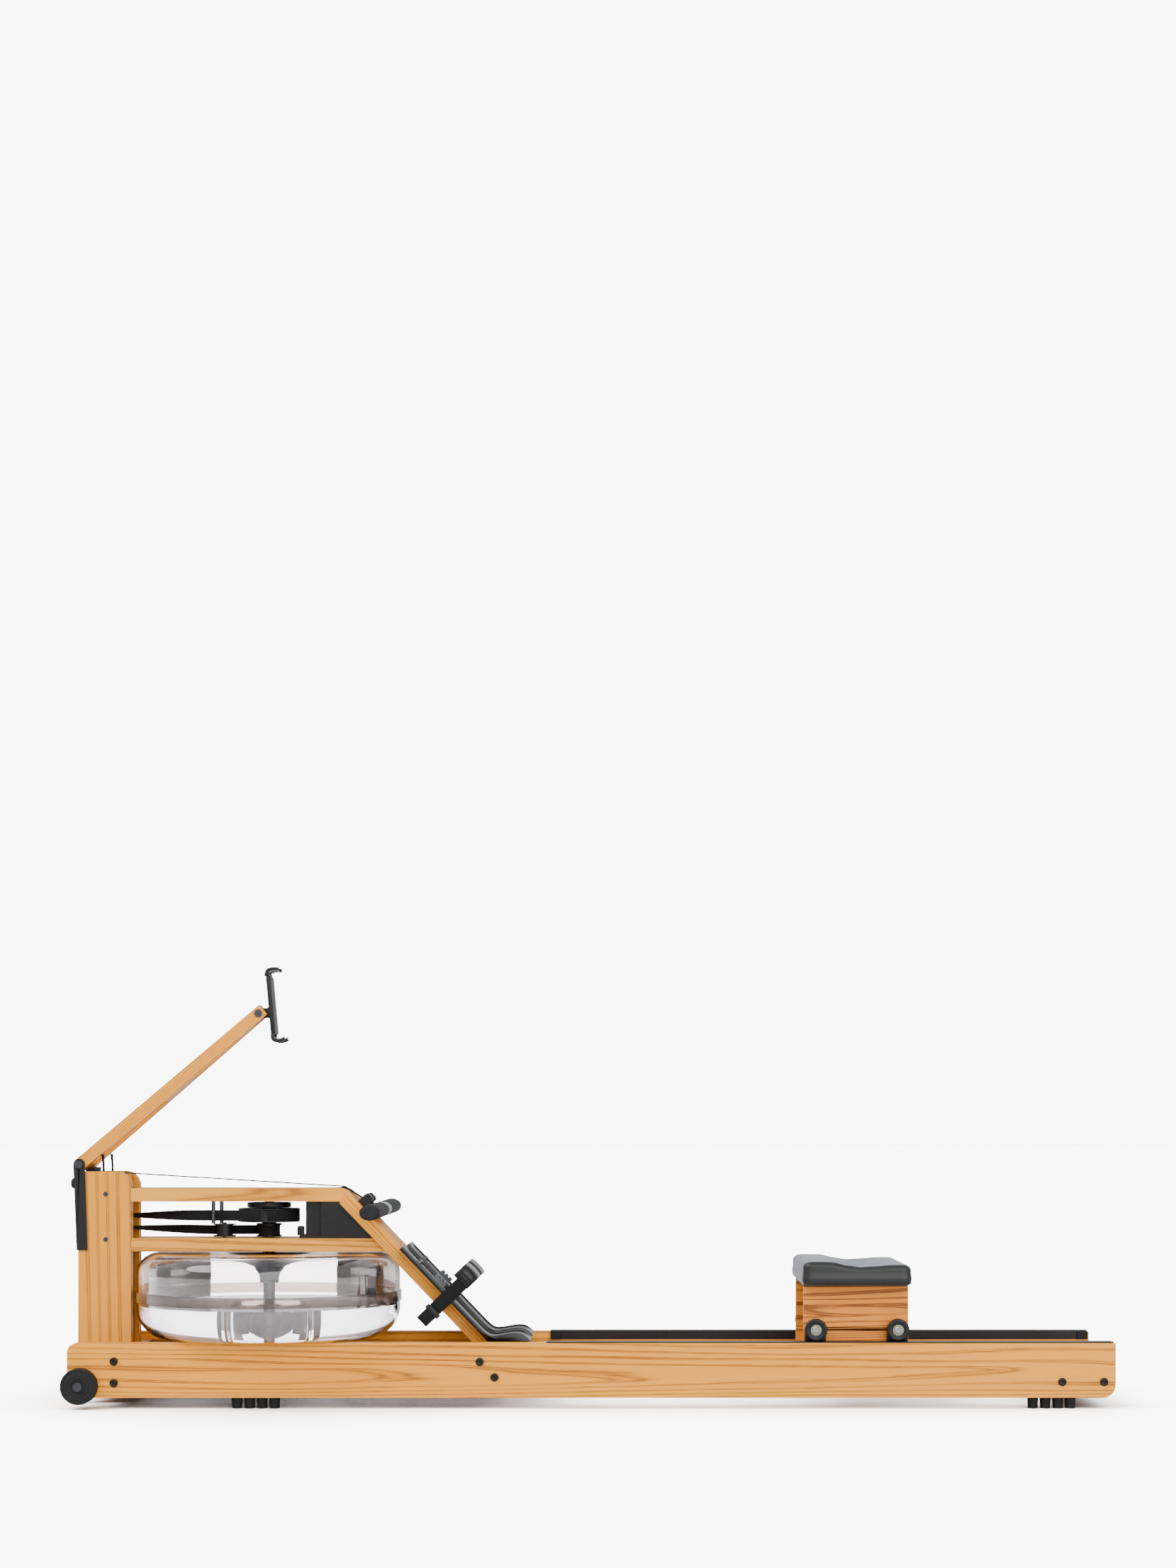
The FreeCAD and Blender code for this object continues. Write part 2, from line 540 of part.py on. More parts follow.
def shell(name, low, high, round_at, radius, hollow_low, hollow_high):
    """A round tank half: an outer form less the same form one wall inside it."""
    outer = [("0", low), ("tank_r", low), ("tank_r", high), ("0", high)]
    inner = [("0", hollow_low), ("tank_r - tank_wall", hollow_low), ("tank_r - tank_wall", hollow_high),
             ("0", hollow_high)]
    solid = turned(name + "_outer", outer, [([round_at], radius)])
    hollow = turned(name + "_inner", inner, [([round_at], radius + " - tank_wall")])
    place(solid, x="tank_x")
    place(hollow, x="tank_x")
    return cut(name + "_half", solid, hollow)


def make_tank():
    """Two clear shells, the clamping ring at their seam, and the water inside."""
    lower = shell("lower", "tank_low", "ring_low", 1, "tank_low_round", "tank_low + tank_wall",
                  "ring_low + 1")
    node("tank_lower_shell", lower)
    upper = shell("upper", "ring_high", "tank_high", 2, "tank_high_round", "ring_high - 1",
                  "tank_high - tank_wall")
    neck = post("tank_neck", "shaft_r + 2", "shaft_x", "0", "ring_high", "tank_high + 5")
    node("tank_upper_shell", cut("tank_upper_cut", upper, neck))
    ring = turned("tank_ring_body", [("tank_r - tank_wall", "ring_low"), ("ring_r", "ring_low"),
                                     ("ring_r", "ring_high"), ("tank_r - tank_wall", "ring_high")])
    node("tank_ring", place(ring, x="tank_x"))

    wet_r = "tank_r - tank_wall - water_gap"
    wet_low = "tank_low + tank_wall + water_gap"
    corners = [("0", wet_low), (wet_r, wet_low), (wet_r, "water_high"), ("0", "water_high")]
    water = turned("water_body", corners, [([1], "tank_low_round - tank_wall")])
    place(water, x="tank_x")
    room = post("paddle_room", "paddle_room", "tank_x", "0", "tank_low", "water_high + 1")
    node("tank_water", cut("tank_water_cut", water, room))


def ring_part(name, inner, outer, low, high):
    """A bearing ring on the drive shaft's axis."""
    ring = turned(name, [(inner, low), (outer, low), (outer, high), (inner, high)])
    return place(ring, x="shaft_x")


def make_bearings():
    """Bearings at the tank floor, the lower deck and the top deck, and the neck cone."""
    foot = ring_part("pivot_bearing", "shaft_r + run_gap", "pivot_r", "tank_low + tank_wall", "pivot_high")
    middle = ring_part("deck_bearing", "shaft_neck + run_gap", "bearing_r", "low_deck_low + 1",
                       "low_deck_high")
    top = ring_part("top_bearing", "shaft_neck + run_gap", "bearing_r", "top_deck_low", "shaft_high + 1")
    ceiling = "tank_high - tank_wall"
    cone = turned("neck_cone", [
        ("shaft_r + run_gap", "cone_low"), ("cone_a", "cone_low"), ("cone_b", "cone_b_z"),
        ("cone_c", "cone_c_z"), ("cone_d", "cone_d_z"), ("cone_e", ceiling), ("shaft_r + run_gap", ceiling)])
    place(cone, x="shaft_x")
    node("shaft_bearings", group("bearing_set", foot, middle, top, cone))


def make_shaft_and_paddle():
    """The upright drive shaft and the paddle that turns in the water."""
    shaft = turned("drive_shaft_body", [
        ("0", "shaft_low"), ("shaft_r", "shaft_low"), ("shaft_r", "shaft_step"), ("shaft_neck", "shaft_step"),
        ("shaft_neck", "shaft_high"), ("0", "shaft_high")])
    node("drive_shaft", place(shaft, x="shaft_x"))

    pieces = [turned("paddle_hub_body", [
        ("0", "paddle_low"), ("paddle_hub", "paddle_low"), ("paddle_hub", "paddle_high"),
        ("0", "paddle_high")])]
    corners = [("0", "paddle_low"), ("paddle_hub", "paddle_low"), ("paddle_r", "paddle_mid - paddle_tip / 2"),
               ("paddle_r", "paddle_mid + paddle_tip / 2"), ("paddle_hub", "paddle_high"),
               ("0", "paddle_high")]
    for i in range(6):
        blade = profile(f"blade_{i}", corners, "blade_thick")
        pieces.append(place(blade, axis=Z_AXIS, angle=str(60 * i)))
    bore = post("paddle_bore", "shaft_r", "0", "0", "paddle_low - 1", "paddle_high + 1")
    paddle = cut("paddle_cut", join("paddle_joined", *pieces), bore)
    node("paddle", place(paddle, x="shaft_x"))


def make_spool():
    """Strap drum, cap disc and the smaller recoil drum, turning as one on the shaft."""
    bore = "shaft_neck + run_gap"
    corners = [(bore, "recoil_low"), ("recoil_flange", "recoil_low"), ("recoil_flange", "recoil_strap_low"),
               ("recoil_r", "recoil_strap_low"), ("recoil_r", "recoil_strap_high"),
               ("recoil_flange", "recoil_strap_high"), ("recoil_flange", "recoil_high"),
               ("neck_r", "recoil_high"), ("neck_r", "spool_low"), ("spool_flange", "spool_low"),
               ("spool_flange", "strap_low"),
               ("spool_r", "strap_low"), ("spool_r", "strap_high"), ("spool_flange", "strap_high"),
               ("spool_flange", "spool_high"), ("neck_r", "spool_high"), ("neck_r", "cap_low"),
               ("cap_r", "cap_low"), ("cap_r", "cap_high"), (bore, "cap_high")]
    node("drive_spool", place(turned("drive_spool_body", corners), x="shaft_x"))


def grooved(name, bore, core, flange, half, rim):
    """A flanged pulley turned about Z, centred on its own origin."""
    return turned(name, [
        (bore, f"-({half})"), (flange, f"-({half})"), (flange, f"{rim} - ({half})"),
        (core, f"{rim} - ({half})"), (core, f"{half} - {rim}"), (flange, f"{half} - {rim}"),
        (flange, half), (bore, half)])


def make_pulleys(stubs):
    """Drive pulley and recoil pulley between the uprights, and every fixed axle."""
    bore = "axle_r + run_gap"
    half = "pulley_half + flange_thick"
    front = grooved("front_pulley_body", bore, "pulley_r", "pulley_flange", half, "flange_thick")
    node("front_pulley", place(front, "pulley_x", "0", "pulley_z", -X_AXIS, "90"))
    recoil = grooved("recoil_pulley_body", bore, "recoil_pulley_r", "recoil_pulley_flange", half,
                     "flange_thick")
    node("recoil_pulley", place(recoil, "pulley_x", "0", "recoil_pulley_z", -X_AXIS, "90"))
    axles = [rod(f"pulley_axle_{i}", "axle_r", "pulley_x", z, "-upright_outer", "upright_outer")
             for i, z in enumerate(("pulley_z", "recoil_pulley_z"))]
    pin = rod("roller_pin", "roller_pin", "roller_x", "roller_z", "-roller_pin_half", "roller_pin_half")
    node("fixed_axles", group("fixed_axle_set", *axles, pin, *stubs))


def make_rollers():
    """The roller at the deck corner, the lower strap guide roller and the guide posts."""
    corner = turned("corner_roller_body", [
        ("roller_pin + run_gap", "-roller_half"), ("roller_r", "-roller_half"), ("roller_r", "roller_half"),
        ("roller_pin + run_gap", "roller_half")])
    node("corner_roller", place(corner, "roller_x", "0", "roller_z", -X_AXIS, "90"))
    bore = "guide_pin + run_gap"
    guide = turned("guide_roller_body", [
        (bore, "guide_low"), ("guide_flange", "guide_low"), ("guide_flange", "guide_low + 2.2"),
        ("guide_r", "guide_low + 2.2"), ("guide_r", "guide_high - 2.2"), ("guide_flange", "guide_high - 2.2"),
        ("guide_flange", "guide_high"), (bore, "guide_high")])
    node("guide_roller", place(guide, "guide_x", "guide_y", "0"))
    posts = [post("guide_pin", "guide_pin", "guide_x", "guide_y", "low_deck_high", "guide_pin_high")]
    for end in ("a", "b"):
        posts.append(post("guide_post_" + end, "guide_pin", f"post_{end}_x", f"post_{end}_y", "post_low",
                          "top_deck_low"))
    node("guide_posts", group("guide_post_set", *posts))


# ---------------------------------------------------------------- straps and handle

def flat_run(start, end, half, thick):
    """A straight flat strap run between two places on the middle plane, wide along Y."""
    reach = end - start
    run = Part.makeBox(reach.Length, 2 * half, thick, V(0, -half, -thick / 2))
    run.rotate(V(), Y_AXIS, -math.degrees(math.atan2(reach.z, reach.x)))
    run.translate(start)
    return run


def edge_run(start, end, half, thick):
    """A straight strap run standing on edge, wide along Z."""
    reach = end - start
    run = Part.makeBox(reach.Length, thick, 2 * half, V(0, -thick / 2, -half))
    run.rotate(V(), Z_AXIS, math.degrees(math.atan2(reach.y, reach.x)))
    run.translate(start)
    return run


def twist_run(start, end, half, thick, steps=6):
    """A strap run that turns from standing on edge to flat over its length."""
    wires = []
    for i in range(steps + 1):
        t = i / steps
        turn = Turn(X_AXIS, 90 * (1 - t))
        corners = [start + (end - start) * t + turn.multVec(V(0, a * half, b * thick / 2))
                   for a, b in ((-1, -1), (1, -1), (1, 1), (-1, 1))]
        wires.append(Part.makePolygon(corners + corners[:1]))
    return Part.makeLoft(wires, True, True)


def curl(centre, axis, arm, radius, half, thick, sweep):
    """A strap lying round a drum, swept about an axis from the direction of arm."""
    near, far, side = arm * radius, arm * (radius + thick), axis * half
    corners = [centre + near - side, centre + far - side, centre + far + side, centre + near + side]
    return Part.Face(Part.makePolygon(corners + corners[:1])).revolve(centre, axis, sweep)


def lean(angle):
    """The direction on the middle plane that leans from +Z toward +X by an angle."""
    return V(math.sin(angle), 0, math.cos(angle))


def tangent(centre_a, radius_a, centre_b, radius_b):
    """Lean of the common tangent over two circles on the middle plane."""
    gap = centre_b - centre_a
    return math.asin((radius_a - radius_b) / gap.Length) - math.atan2(gap.z, gap.x)


def strap_node(label, stretches):
    """One strap sub-part: each stretch is fused from its runs, and they meet end to end."""
    solids = []
    for runs in stretches:
        shape = runs[0]
        for run in runs[1:]:
            shape = shape.fuse(run)
        solids += shape.Solids
    obj = doc.addObject("Part::Feature", label)
    obj.Shape = Part.makeCompound(solids)
    node(label, obj)


def drum_run(side, drum, half, thick, z_mid, z_pulley):
    """The run from a drum on the shaft to flat at a pulley, with the coil on the drum."""
    pulley = V(value("pulley_x"), 0, z_mid)
    axis = V(value("shaft_x"), 0, z_mid)
    span = (axis - pulley).Length
    angle = math.asin(drum / span)
    ahead = V(math.cos(angle), side * math.sin(angle), 0)
    touch = pulley + ahead * span * math.cos(angle)
    turned_up = pulley + ahead * ((value("twist_from") - pulley.x) / ahead.x)
    flat = V(value("twist_to"), 0, z_pulley)
    coil = curl(axis, Z_AXIS, X_AXIS, drum - thick / 2, half, thick, 360)
    return ([coil, edge_run(turned_up, touch, half, thick)], [twist_run(turned_up, flat, half, thick)],
            flat_run(V(pulley.x, 0, z_pulley), flat, half, thick))


def make_drive_strap():
    """From the deck corner roller over the front pulley and back to the drum."""
    half, thick, lift = value("strap_half"), value("strap_thick"), value("strap_lift")
    pulley = V(value("pulley_x"), 0, value("pulley_z"))
    roller = V(value("roller_x"), 0, value("roller_z"))
    inside, small = value("pulley_r") + lift, value("roller_r") + lift
    mid, small_mid = inside + thick / 2, small + thick / 2
    over = tangent(pulley, mid, roller, small_mid)
    down = tangent(roller, small_mid, handle_middle(), 0)
    top = flat_run(pulley + lean(over) * mid, roller + lean(over) * small_mid, half, thick)
    bend = curl(pulley, -Y_AXIS, lean(over), inside, half, thick, 180 + math.degrees(over))
    drop = curl(roller, Y_AXIS, lean(over), small, half, thick, math.degrees(down - over))
    z_mid = value("(strap_low + strap_high) / 2")
    drum = value("spool_r") + lift + thick / 2
    coil, twist, tail = drum_run(-1, drum, half, thick, z_mid, pulley.z - mid)
    strap_node("drive_strap", [[bend, top, drop, tail], twist, coil])


def make_recoil_strap():
    """From the recoil drum past its guide roller and over the recoil pulley to its anchor."""
    half, thick, lift = value("recoil_half"), value("strap_thick"), value("strap_lift")
    pulley = V(value("pulley_x"), 0, value("recoil_pulley_z"))
    inside = value("recoil_pulley_r") + lift
    bend = curl(pulley, -Y_AXIS, Z_AXIS, inside, half, thick, 90)
    foot = value("spacer_high")
    drop = Part.makeBox(thick, 2 * half, pulley.z - foot, V(pulley.x - inside - thick, -half, foot))
    z_mid = value("(recoil_strap_low + recoil_strap_high) / 2")
    drum = value("recoil_r") + lift + thick / 2
    coil, twist, tail = drum_run(1, drum, half, thick, z_mid, pulley.z + inside + thick / 2)
    strap_node("recoil_strap", [[bend, drop, tail], twist, coil])


def handle_middle():
    """The middle of the handle at rest."""
    return V(value("handle_x"), 0, value("handle_z"))


def oval(name, major, minor, y_from, y_to):
    """An oval bar along Y at the handle's place."""
    ring = doc.addObject("Part::Ellipse", name + "_ring")
    bind(ring, "MajorRadius", major)
    bind(ring, "MinorRadius", minor)
    bar = doc.addObject("Part::Extrusion", name)
    bar.Base = ring
    bar.DirMode = "Custom"
    bar.Dir = Z_AXIS
    bar.Solid = True
    bind(bar, "LengthFwd", f"{y_to} - ({y_from})")
    return place(bar, "handle_x", y_from, "handle_z", -X_AXIS, "90")


def make_handle():
    """Oval pull handle: a core with its strap sleeve, and two foam grips."""
    node("handle_core", oval("handle_core_bar", "handle_major - 1", "handle_minor - 1", "-sleeve_half",
                             "sleeve_half"))
    grips = [oval("handle_grip_left", "handle_major", "handle_minor", "sleeve_half", "handle_end"),
             oval("handle_grip_right", "handle_major", "handle_minor", "-handle_end", "-sleeve_half")]
    node("handle_grips", group("handle_grip_set", *grips))


def make_strap_tail():
    """The last run of strap, from the roller to its sewn end on the handle core."""
    half, thick = value("strap_half"), value("strap_thick")
    roller = V(value("roller_x"), 0, value("roller_z"))
    rise = value("roller_r + strap_lift + strap_thick / 2")
    angle = tangent(roller, rise, handle_middle(), 0)
    start = roller + lean(angle) * rise
    ahead = lean(angle + math.pi / 2)
    end = handle_middle() - ahead * (value("handle_major") - 4)
    thin = flat_run(start + ahead * value("strap_gap"), end, half, thick)
    sewn = flat_run(end - ahead * value("sewn_end"), end, half, value("sewn_thick"))
    doc.recompute()
    core = [obj for obj in NODES if obj.Label == "handle_core"][0]
    obj = doc.addObject("Part::Feature", "strap_tail")
    obj.Shape = thin.fuse(sewn).cut(core.Shape).removeSplitter()
    node("strap_tail", obj)


def make_handle_rests():
    """Two rounded rest posts that hold the handle on the footboard."""
    corners = [("rest_from", "0"), ("rest_to", "0"), ("rest_to", "rest_tall"), ("rest_from", "rest_tall")]
    posts = []
    for side, sign in (("left", ""), ("right", "-")):
        rest = profile("handle_rest_" + side, corners, "rest_outer - rest_inner", [([2, 3], "rest_round")])
        posts.append(on_slope(rest, "0", f"{sign}(rest_inner + rest_outer) / 2", "0"))
    node("handle_rests", group("handle_rest_set", *posts))


# ---------------------------------------------------------------- foot plates

def heel_plate(side, sign):
    """A sliding foot plate with a heel cup and the long slot for its peg."""
    corners = [("plate_from", "plate_lift"), ("plate_root", "plate_lift"), ("heel_low_u", "heel_low_w"),
               ("heel_tip_u", "heel_tip_w"), ("heel_peak_u", "heel_peak_w"), ("heel_dip_u", "heel_dip_w"),
               ("heel_dip_u - 16", "plate_thick"), ("plate_from", "plate_thick")]
    plate = profile(f"heel_plate_{side}", corners, "plate_outer - plate_inner",
                    [([4], "soft_edge"), ([5], "2 * soft_edge")])
    place(plate, "0", f"{sign}(plate_inner + plate_outer) / 2", "0")
    reach = "peg_r + slot_slack"
    slot = block(f"peg_slot_{side}", f"peg_u - ({reach})",
                 f"peg_u + heel_travel + {reach}", f"{sign}foot_y - ({reach})", f"{sign}foot_y + {reach}",
                 "-5", "2 * plate_thick")
    return on_slope(cut(f"heel_plate_{side}_cut", plate, slot), "0", "0", "0")


def toe_ribs(side, sign):
    """Three ribs across the foot plate, on one low base."""
    base = block(f"rib_base_{side}", "rib_from - rib_r", "rib_from + 2 * rib_step + rib_r",
                 f"{sign}foot_y - rib_half", f"{sign}foot_y + rib_half", "plate_thick",
                 "plate_thick + rib_base_tall")
    ribs = [rod(f"rib_{side}_{i}", "rib_r - 0.2", f"rib_from + {i} * rib_step", "plate_thick + rib_base_tall",
                f"{sign}foot_y - rib_half", f"{sign}foot_y + rib_half") for i in range(3)]
    return on_slope(join(f"toe_ribs_{side}_joined", base, *ribs), "0", "0", "0")


def make_foot_plates():
    """Both heel rests with their ribs, and the pegs on the board that guide them."""
    pegs = []
    for side, sign in (("left", ""), ("right", "-")):
        node("heel_rest_" + side, heel_plate(side, sign))
        node("toe_ribs_" + side, toe_ribs(side, sign))
        peg = doc.addObject("Part::Cylinder", f"peg_{side}")
        bind(peg, "Radius", "peg_r")
        bind(peg, "Height", "peg_tall")
        pegs.append(on_slope(peg, "peg_u", f"{sign}foot_y", "0"))
    node("adjusting_pegs", group("adjusting_peg_set", *pegs))


def strap_arch(side, sign):
    """The part of a foot strap that stands over the foot, open below."""
    halves = []
    for name, grow, low in (("outer", "0", "0"), ("inner", "foot_strap_thick", "-5")):
        half = f"((foot_strap_out - foot_strap_in) / 2 - {grow})"
        top = f"foot_strap_up - {grow}"
        corners = [(f"-{half}", low), (half, low), (half, top), (f"-{half}", top)]
        body = profile(f"arch_{side}_{name}", corners, f"2 * foot_strap_half + 2 * {grow}",
                       [([2, 3], f"foot_strap_round - {grow}")], "YZ_Plane")
        halves.append(place(body, "foot_strap_u", f"{sign}(foot_strap_in + foot_strap_out) / 2", "0"))
    return cut(f"arch_{side}", *halves)


def foot_strap(side, sign):
    """One foot strap: arch, outer leg, the band under the board, and the loose tail."""
    u_from, u_to = "foot_strap_u - foot_strap_half", "foot_strap_u + foot_strap_half"
    below = "-board_thick - foot_strap_thick"
    runs = [("leg", "foot_strap_out - foot_strap_thick", "foot_strap_out", below, "0"),
            ("under", "under_inner", "foot_strap_out", below, "-board_thick"),
            ("tail", "foot_strap_out - strap_tail_thick", "foot_strap_out", "-strap_tail_down", below)]
    pieces = [strap_arch(side, sign)]
    for name, low, high, w_low, w_high in runs:
        ends = (low, high) if sign == "" else (f"-({high})", f"-({low})")
        pieces.append(block(f"{name}_{side}", u_from, u_to, *ends, w_low, w_high))
    return on_slope(join(f"foot_strap_{side}_joined", *pieces), "0", "0", "0")


# ---------------------------------------------------------------- tablet arm and holder

def make_bracket():
    """Bent steel bracket on the front of the uprights, with ears for the arm hinge."""
    ear = [("bracket_low_front", "bracket_low"), ("bracket_low_rear", "bracket_low"),
           ("bracket_top_rear", "hinge_z + ear_r"), ("bracket_top_front", "hinge_z + ear_r")]
    slant = "(bracket_top_front - bracket_low_front) / (hinge_z + ear_r - bracket_low)"
    front = [("bracket_low_front", "bracket_low"), ("rail_front", "bracket_low"), ("rail_front", "plate_top"),
             (f"bracket_low_front + (plate_top - bracket_low) * {slant}", "plate_top")]
    pieces = [profile("bracket_front", front, "2 * bracket_outer")]
    for side, sign in (("left", ""), ("right", "-")):
        body = profile(f"bracket_ear_{side}", ear, "bracket_outer - upright_outer", [([2, 3], "ear_r - 0.2")])
        pieces.append(place(body, "0", f"{sign}(bracket_outer + upright_outer) / 2", "0"))
    pin = rod("bracket_pin_hole", "pin_r", "hinge_x", "hinge_z", "-bracket_outer - 1", "bracket_outer + 1")
    knob = rod_x("bracket_knob_hole", "knob_stem + run_gap", "0", "knob_z", "knob_front", "knob_stem_end")
    node("arm_bracket", cut("arm_bracket_cut", join("bracket_joined", *pieces), pin, knob))


def make_hinge_fittings():
    """Hinge pin, clamp knob, stop bumper and the two stays."""
    pieces = [rod("hinge_pin_rod", "pin_r", "hinge_x", "hinge_z", "-bracket_outer", "bracket_outer")]
    for side, low, high in (("left", "bracket_outer", "bracket_outer + pin_head_thick"),
                            ("right", "-bracket_outer - pin_head_thick", "-bracket_outer")):
        pieces.append(rod(f"hinge_pin_head_{side}", "pin_head", "hinge_x", "hinge_z", low, high))
    node("hinge_pin", join("hinge_pin_joined", *pieces))

    node("clamp_knob", knob_body())
    bumper = block("stop_bumper_block", "bumper_front", "bumper_rear", "-upright_inner", "upright_inner",
                   "bumper_low", "bumper_high")
    node("stop_bumper", bumper)
    stays = [post(f"stay_{side}", "stay_r", "stay_x", f"{sign}stay_y", "stay_low", "stay_high")
             for side, sign in (("left", ""), ("right", "-"))]
    node("stay_cords", group("stay_cord_set", *stays))


def knob_body():
    """A round knob with a waisted back and a threaded stem, turned about X."""
    knob = turned("clamp_knob_body", [
        ("0", "knob_front"), ("knob_r - 2.5", "knob_front"), ("knob_r", "knob_front + 2.5"),
        ("knob_r", "knob_back - 4"), ("knob_r - 4", "knob_back"), ("knob_stem", "knob_back"),
        ("knob_stem", "knob_stem_end"), ("0", "knob_stem_end")])
    return place(knob, "0", "0", "knob_z", Y_AXIS, "90")


def arm_half_width(u):
    """Half the arm's width at a distance along it."""
    return f"(arm_wide_end + (arm_thin_end - arm_wide_end) * ({u}) / tilt_u)"


def arm_window(name, u_from, u_to):
    """One tapered opening through the arm, between its two stiles."""
    a, b = arm_half_width(u_from) + " - stile", arm_half_width(u_to) + " - stile"
    corners = [(u_from, f"-({a})"), (u_to, f"-({b})"), (u_to, b), (u_from, a)]
    return profile(name, corners, "2 * arm_thick", [([0, 1, 2, 3], "slot_round")], "XY_Plane")


def make_arm():
    """Tapered wooden arm with two openings and a forked tip, and its tilt bolt."""
    wide, thin = "arm_wide_end", "arm_thin_end"
    corners = [("0", f"-{wide}"), ("tilt_u", f"-{thin}"), ("tilt_u + arm_round", f"-{thin}"),
               ("tilt_u + arm_round", thin), ("tilt_u", thin), ("0", wide)]
    beam = profile("arm_plank", corners, "arm_thick", (), "XY_Plane")
    root = rod("arm_root_round", "arm_round", "0", "0", f"-{wide}", wide)
    fork = block("arm_fork", "fork_from", "tilt_u + arm_round + 5", "-fork_half", "fork_half", "-arm_thick",
                 "arm_thick")
    tools = [fork, arm_window("arm_window_a", "slot_a_from", "slot_a_to"),
             arm_window("arm_window_b", "slot_b_from", "slot_b_to"),
             rod("arm_pin_hole", "pin_r + run_gap", "0", "0", "-bracket_outer", "bracket_outer"),
             rod("arm_bolt_hole", "tilt_bolt_r", "tilt_u", "0", "-bolt_end", "bolt_end")]
    node("arm_beam", on_arm(cut("arm_cut", join("arm_joined", beam, root), *tools), "0", "0", "0"))
    seat = "arm_thin_end + bolt_gap"
    bolt = [rod("tilt_bolt_rod", "tilt_bolt_r", "tilt_u", "0", f"-({seat})", seat),
            rod("tilt_bolt_head_left", "pin_head", "tilt_u", "0", seat, "bolt_end"),
            rod("tilt_bolt_head_right", "pin_head", "tilt_u", "0", "-bolt_end", f"-({seat})")]
    node("tilt_bolt", on_arm(join("tilt_bolt_joined", *bolt), "0", "0", "0"))


def make_holder():
    """Tilting mount, clamp bar with its lower jaw, and the sliding upper jaw."""
    tongue = rod("tongue_round", "tongue_r", "0", "0", "-tongue_half", "tongue_half")
    neck = block("tongue_neck", "0", "disc_from", "-tongue_half", "tongue_half", "-neck_half", "neck_half")
    disc = rod_x("swivel_disc", "disc_r", "0", "0", "disc_from", "holder_back")
    hole = rod("tongue_hole", "tilt_bolt_r + run_gap", "0", "0", "-tongue_half - 1", "tongue_half + 1")
    mount = cut("holder_mount_cut", join("holder_mount_joined", tongue, neck, disc), hole)
    node("holder_mount", on_holder(mount, "0", "0", "0"))

    bar = block("holder_bar_block", "holder_back", "holder_back + holder_thick", "-holder_half",
                "holder_half", "holder_low", "holder_high")
    groove = block("stem_groove", "stem_from", "stem_from + stem_thick", "-stem_half", "stem_half",
                   "slot_low", "holder_high + 1")
    front = "holder_back + holder_thick"
    jaw = [("holder_back - 2.8", "holder_low"), ("holder_back - 2.8", "-52"), ("holder_back + 4.7", "-60.5"),
           ("holder_back + 22.7", "-61"), ("holder_back + 28.7", "-57"), ("holder_back + 28.7", "-52"),
           ("holder_back + 23.7", "-52"), ("holder_back + 20.7", "-55"), (front, "-54"),
           (front, "holder_low")]
    lower = profile("lower_jaw", jaw, "2 * holder_half")
    gap = block("lower_jaw_gap", front + " + 0.1", "holder_back + 35", "finger_wide - holder_half",
                "holder_half - finger_wide", "-65", "holder_low - 5")
    bar = cut("holder_bar_cut", join("holder_bar_joined", bar, lower), groove, gap)
    node("holder_bar", on_holder(bar, "0", "0", "0"))

    hook = [("holder_back - 3.3", "holder_high + 0.3"), ("holder_back + 4.7", "holder_high + 0.3"),
            ("holder_back + 4.7", "80"), ("holder_back + 8.7", "85"), ("holder_back + 28.7", "86"),
            ("holder_back + 28.7", "92"), ("holder_back + 2.7", "90"), ("holder_back - 3.3", "82")]
    upper = profile("upper_jaw_hook", hook, "2 * holder_half")
    stem = block("upper_jaw_stem", "stem_from + stem_gap", "stem_from + stem_thick - stem_gap",
                 "-stem_half + stem_gap", "stem_half - stem_gap", "stem_low", "holder_high + 2")
    node("upper_jaw", on_holder(join("upper_jaw_joined", upper, stem), "0", "0", "0"))


# ---------------------------------------------------------------- seat carriage

def seat_wheel(name, x, sign):
    """One seat wheel on its axle."""
    bore = "seat_axle_r + run_gap"
    wheel = turned(name, [(bore, "seat_wheel_in"), ("seat_wheel_r", "seat_wheel_in"),
                          ("seat_wheel_r", "seat_wheel_out"), (bore, "seat_wheel_out")],
                   [([1, 2], "soft_edge / 2")])
    return place(wheel, x, "0", "seat_wheel_z", -X_AXIS * sign, "90")


def seat_fittings(end, x):
    """One axle with its end caps, and the guard and keeper blocks beside the boards."""
    pieces = [rod(f"seat_axle_{end}", "seat_axle_r", x, "seat_wheel_z", "-axle_end", "axle_end")]
    for side, sign in (("left", ""), ("right", "-")):
        ends = [("axle_end - 2.7", "axle_end"), ("seat_half", "guard_out"), ("seat_half", "keeper_out")]
        if sign:
            ends = [(f"-({high})", f"-({low})") for low, high in ends]
        pieces.append(rod(f"axle_cap_{end}_{side}", "axle_cap_r", x, "seat_wheel_z", *ends[0]))
        pieces.append(block(f"guard_{end}_{side}", f"{x} - guard_half", f"{x} + guard_half", *ends[1],
                            "guard_low", "guard_high"))
        pieces.append(block(f"keeper_{end}_{side}", f"{x} - guard_half", f"{x} + guard_half", *ends[2],
                            "keeper_low", "guard_low"))
    axle = join(f"seat_axle_{end}_joined", pieces[0], pieces[1], pieces[4])
    guards = [join(f"guards_{end}_left", pieces[2], pieces[3]),
              join(f"guards_{end}_right", pieces[5], pieces[6])]
    return axle, guards


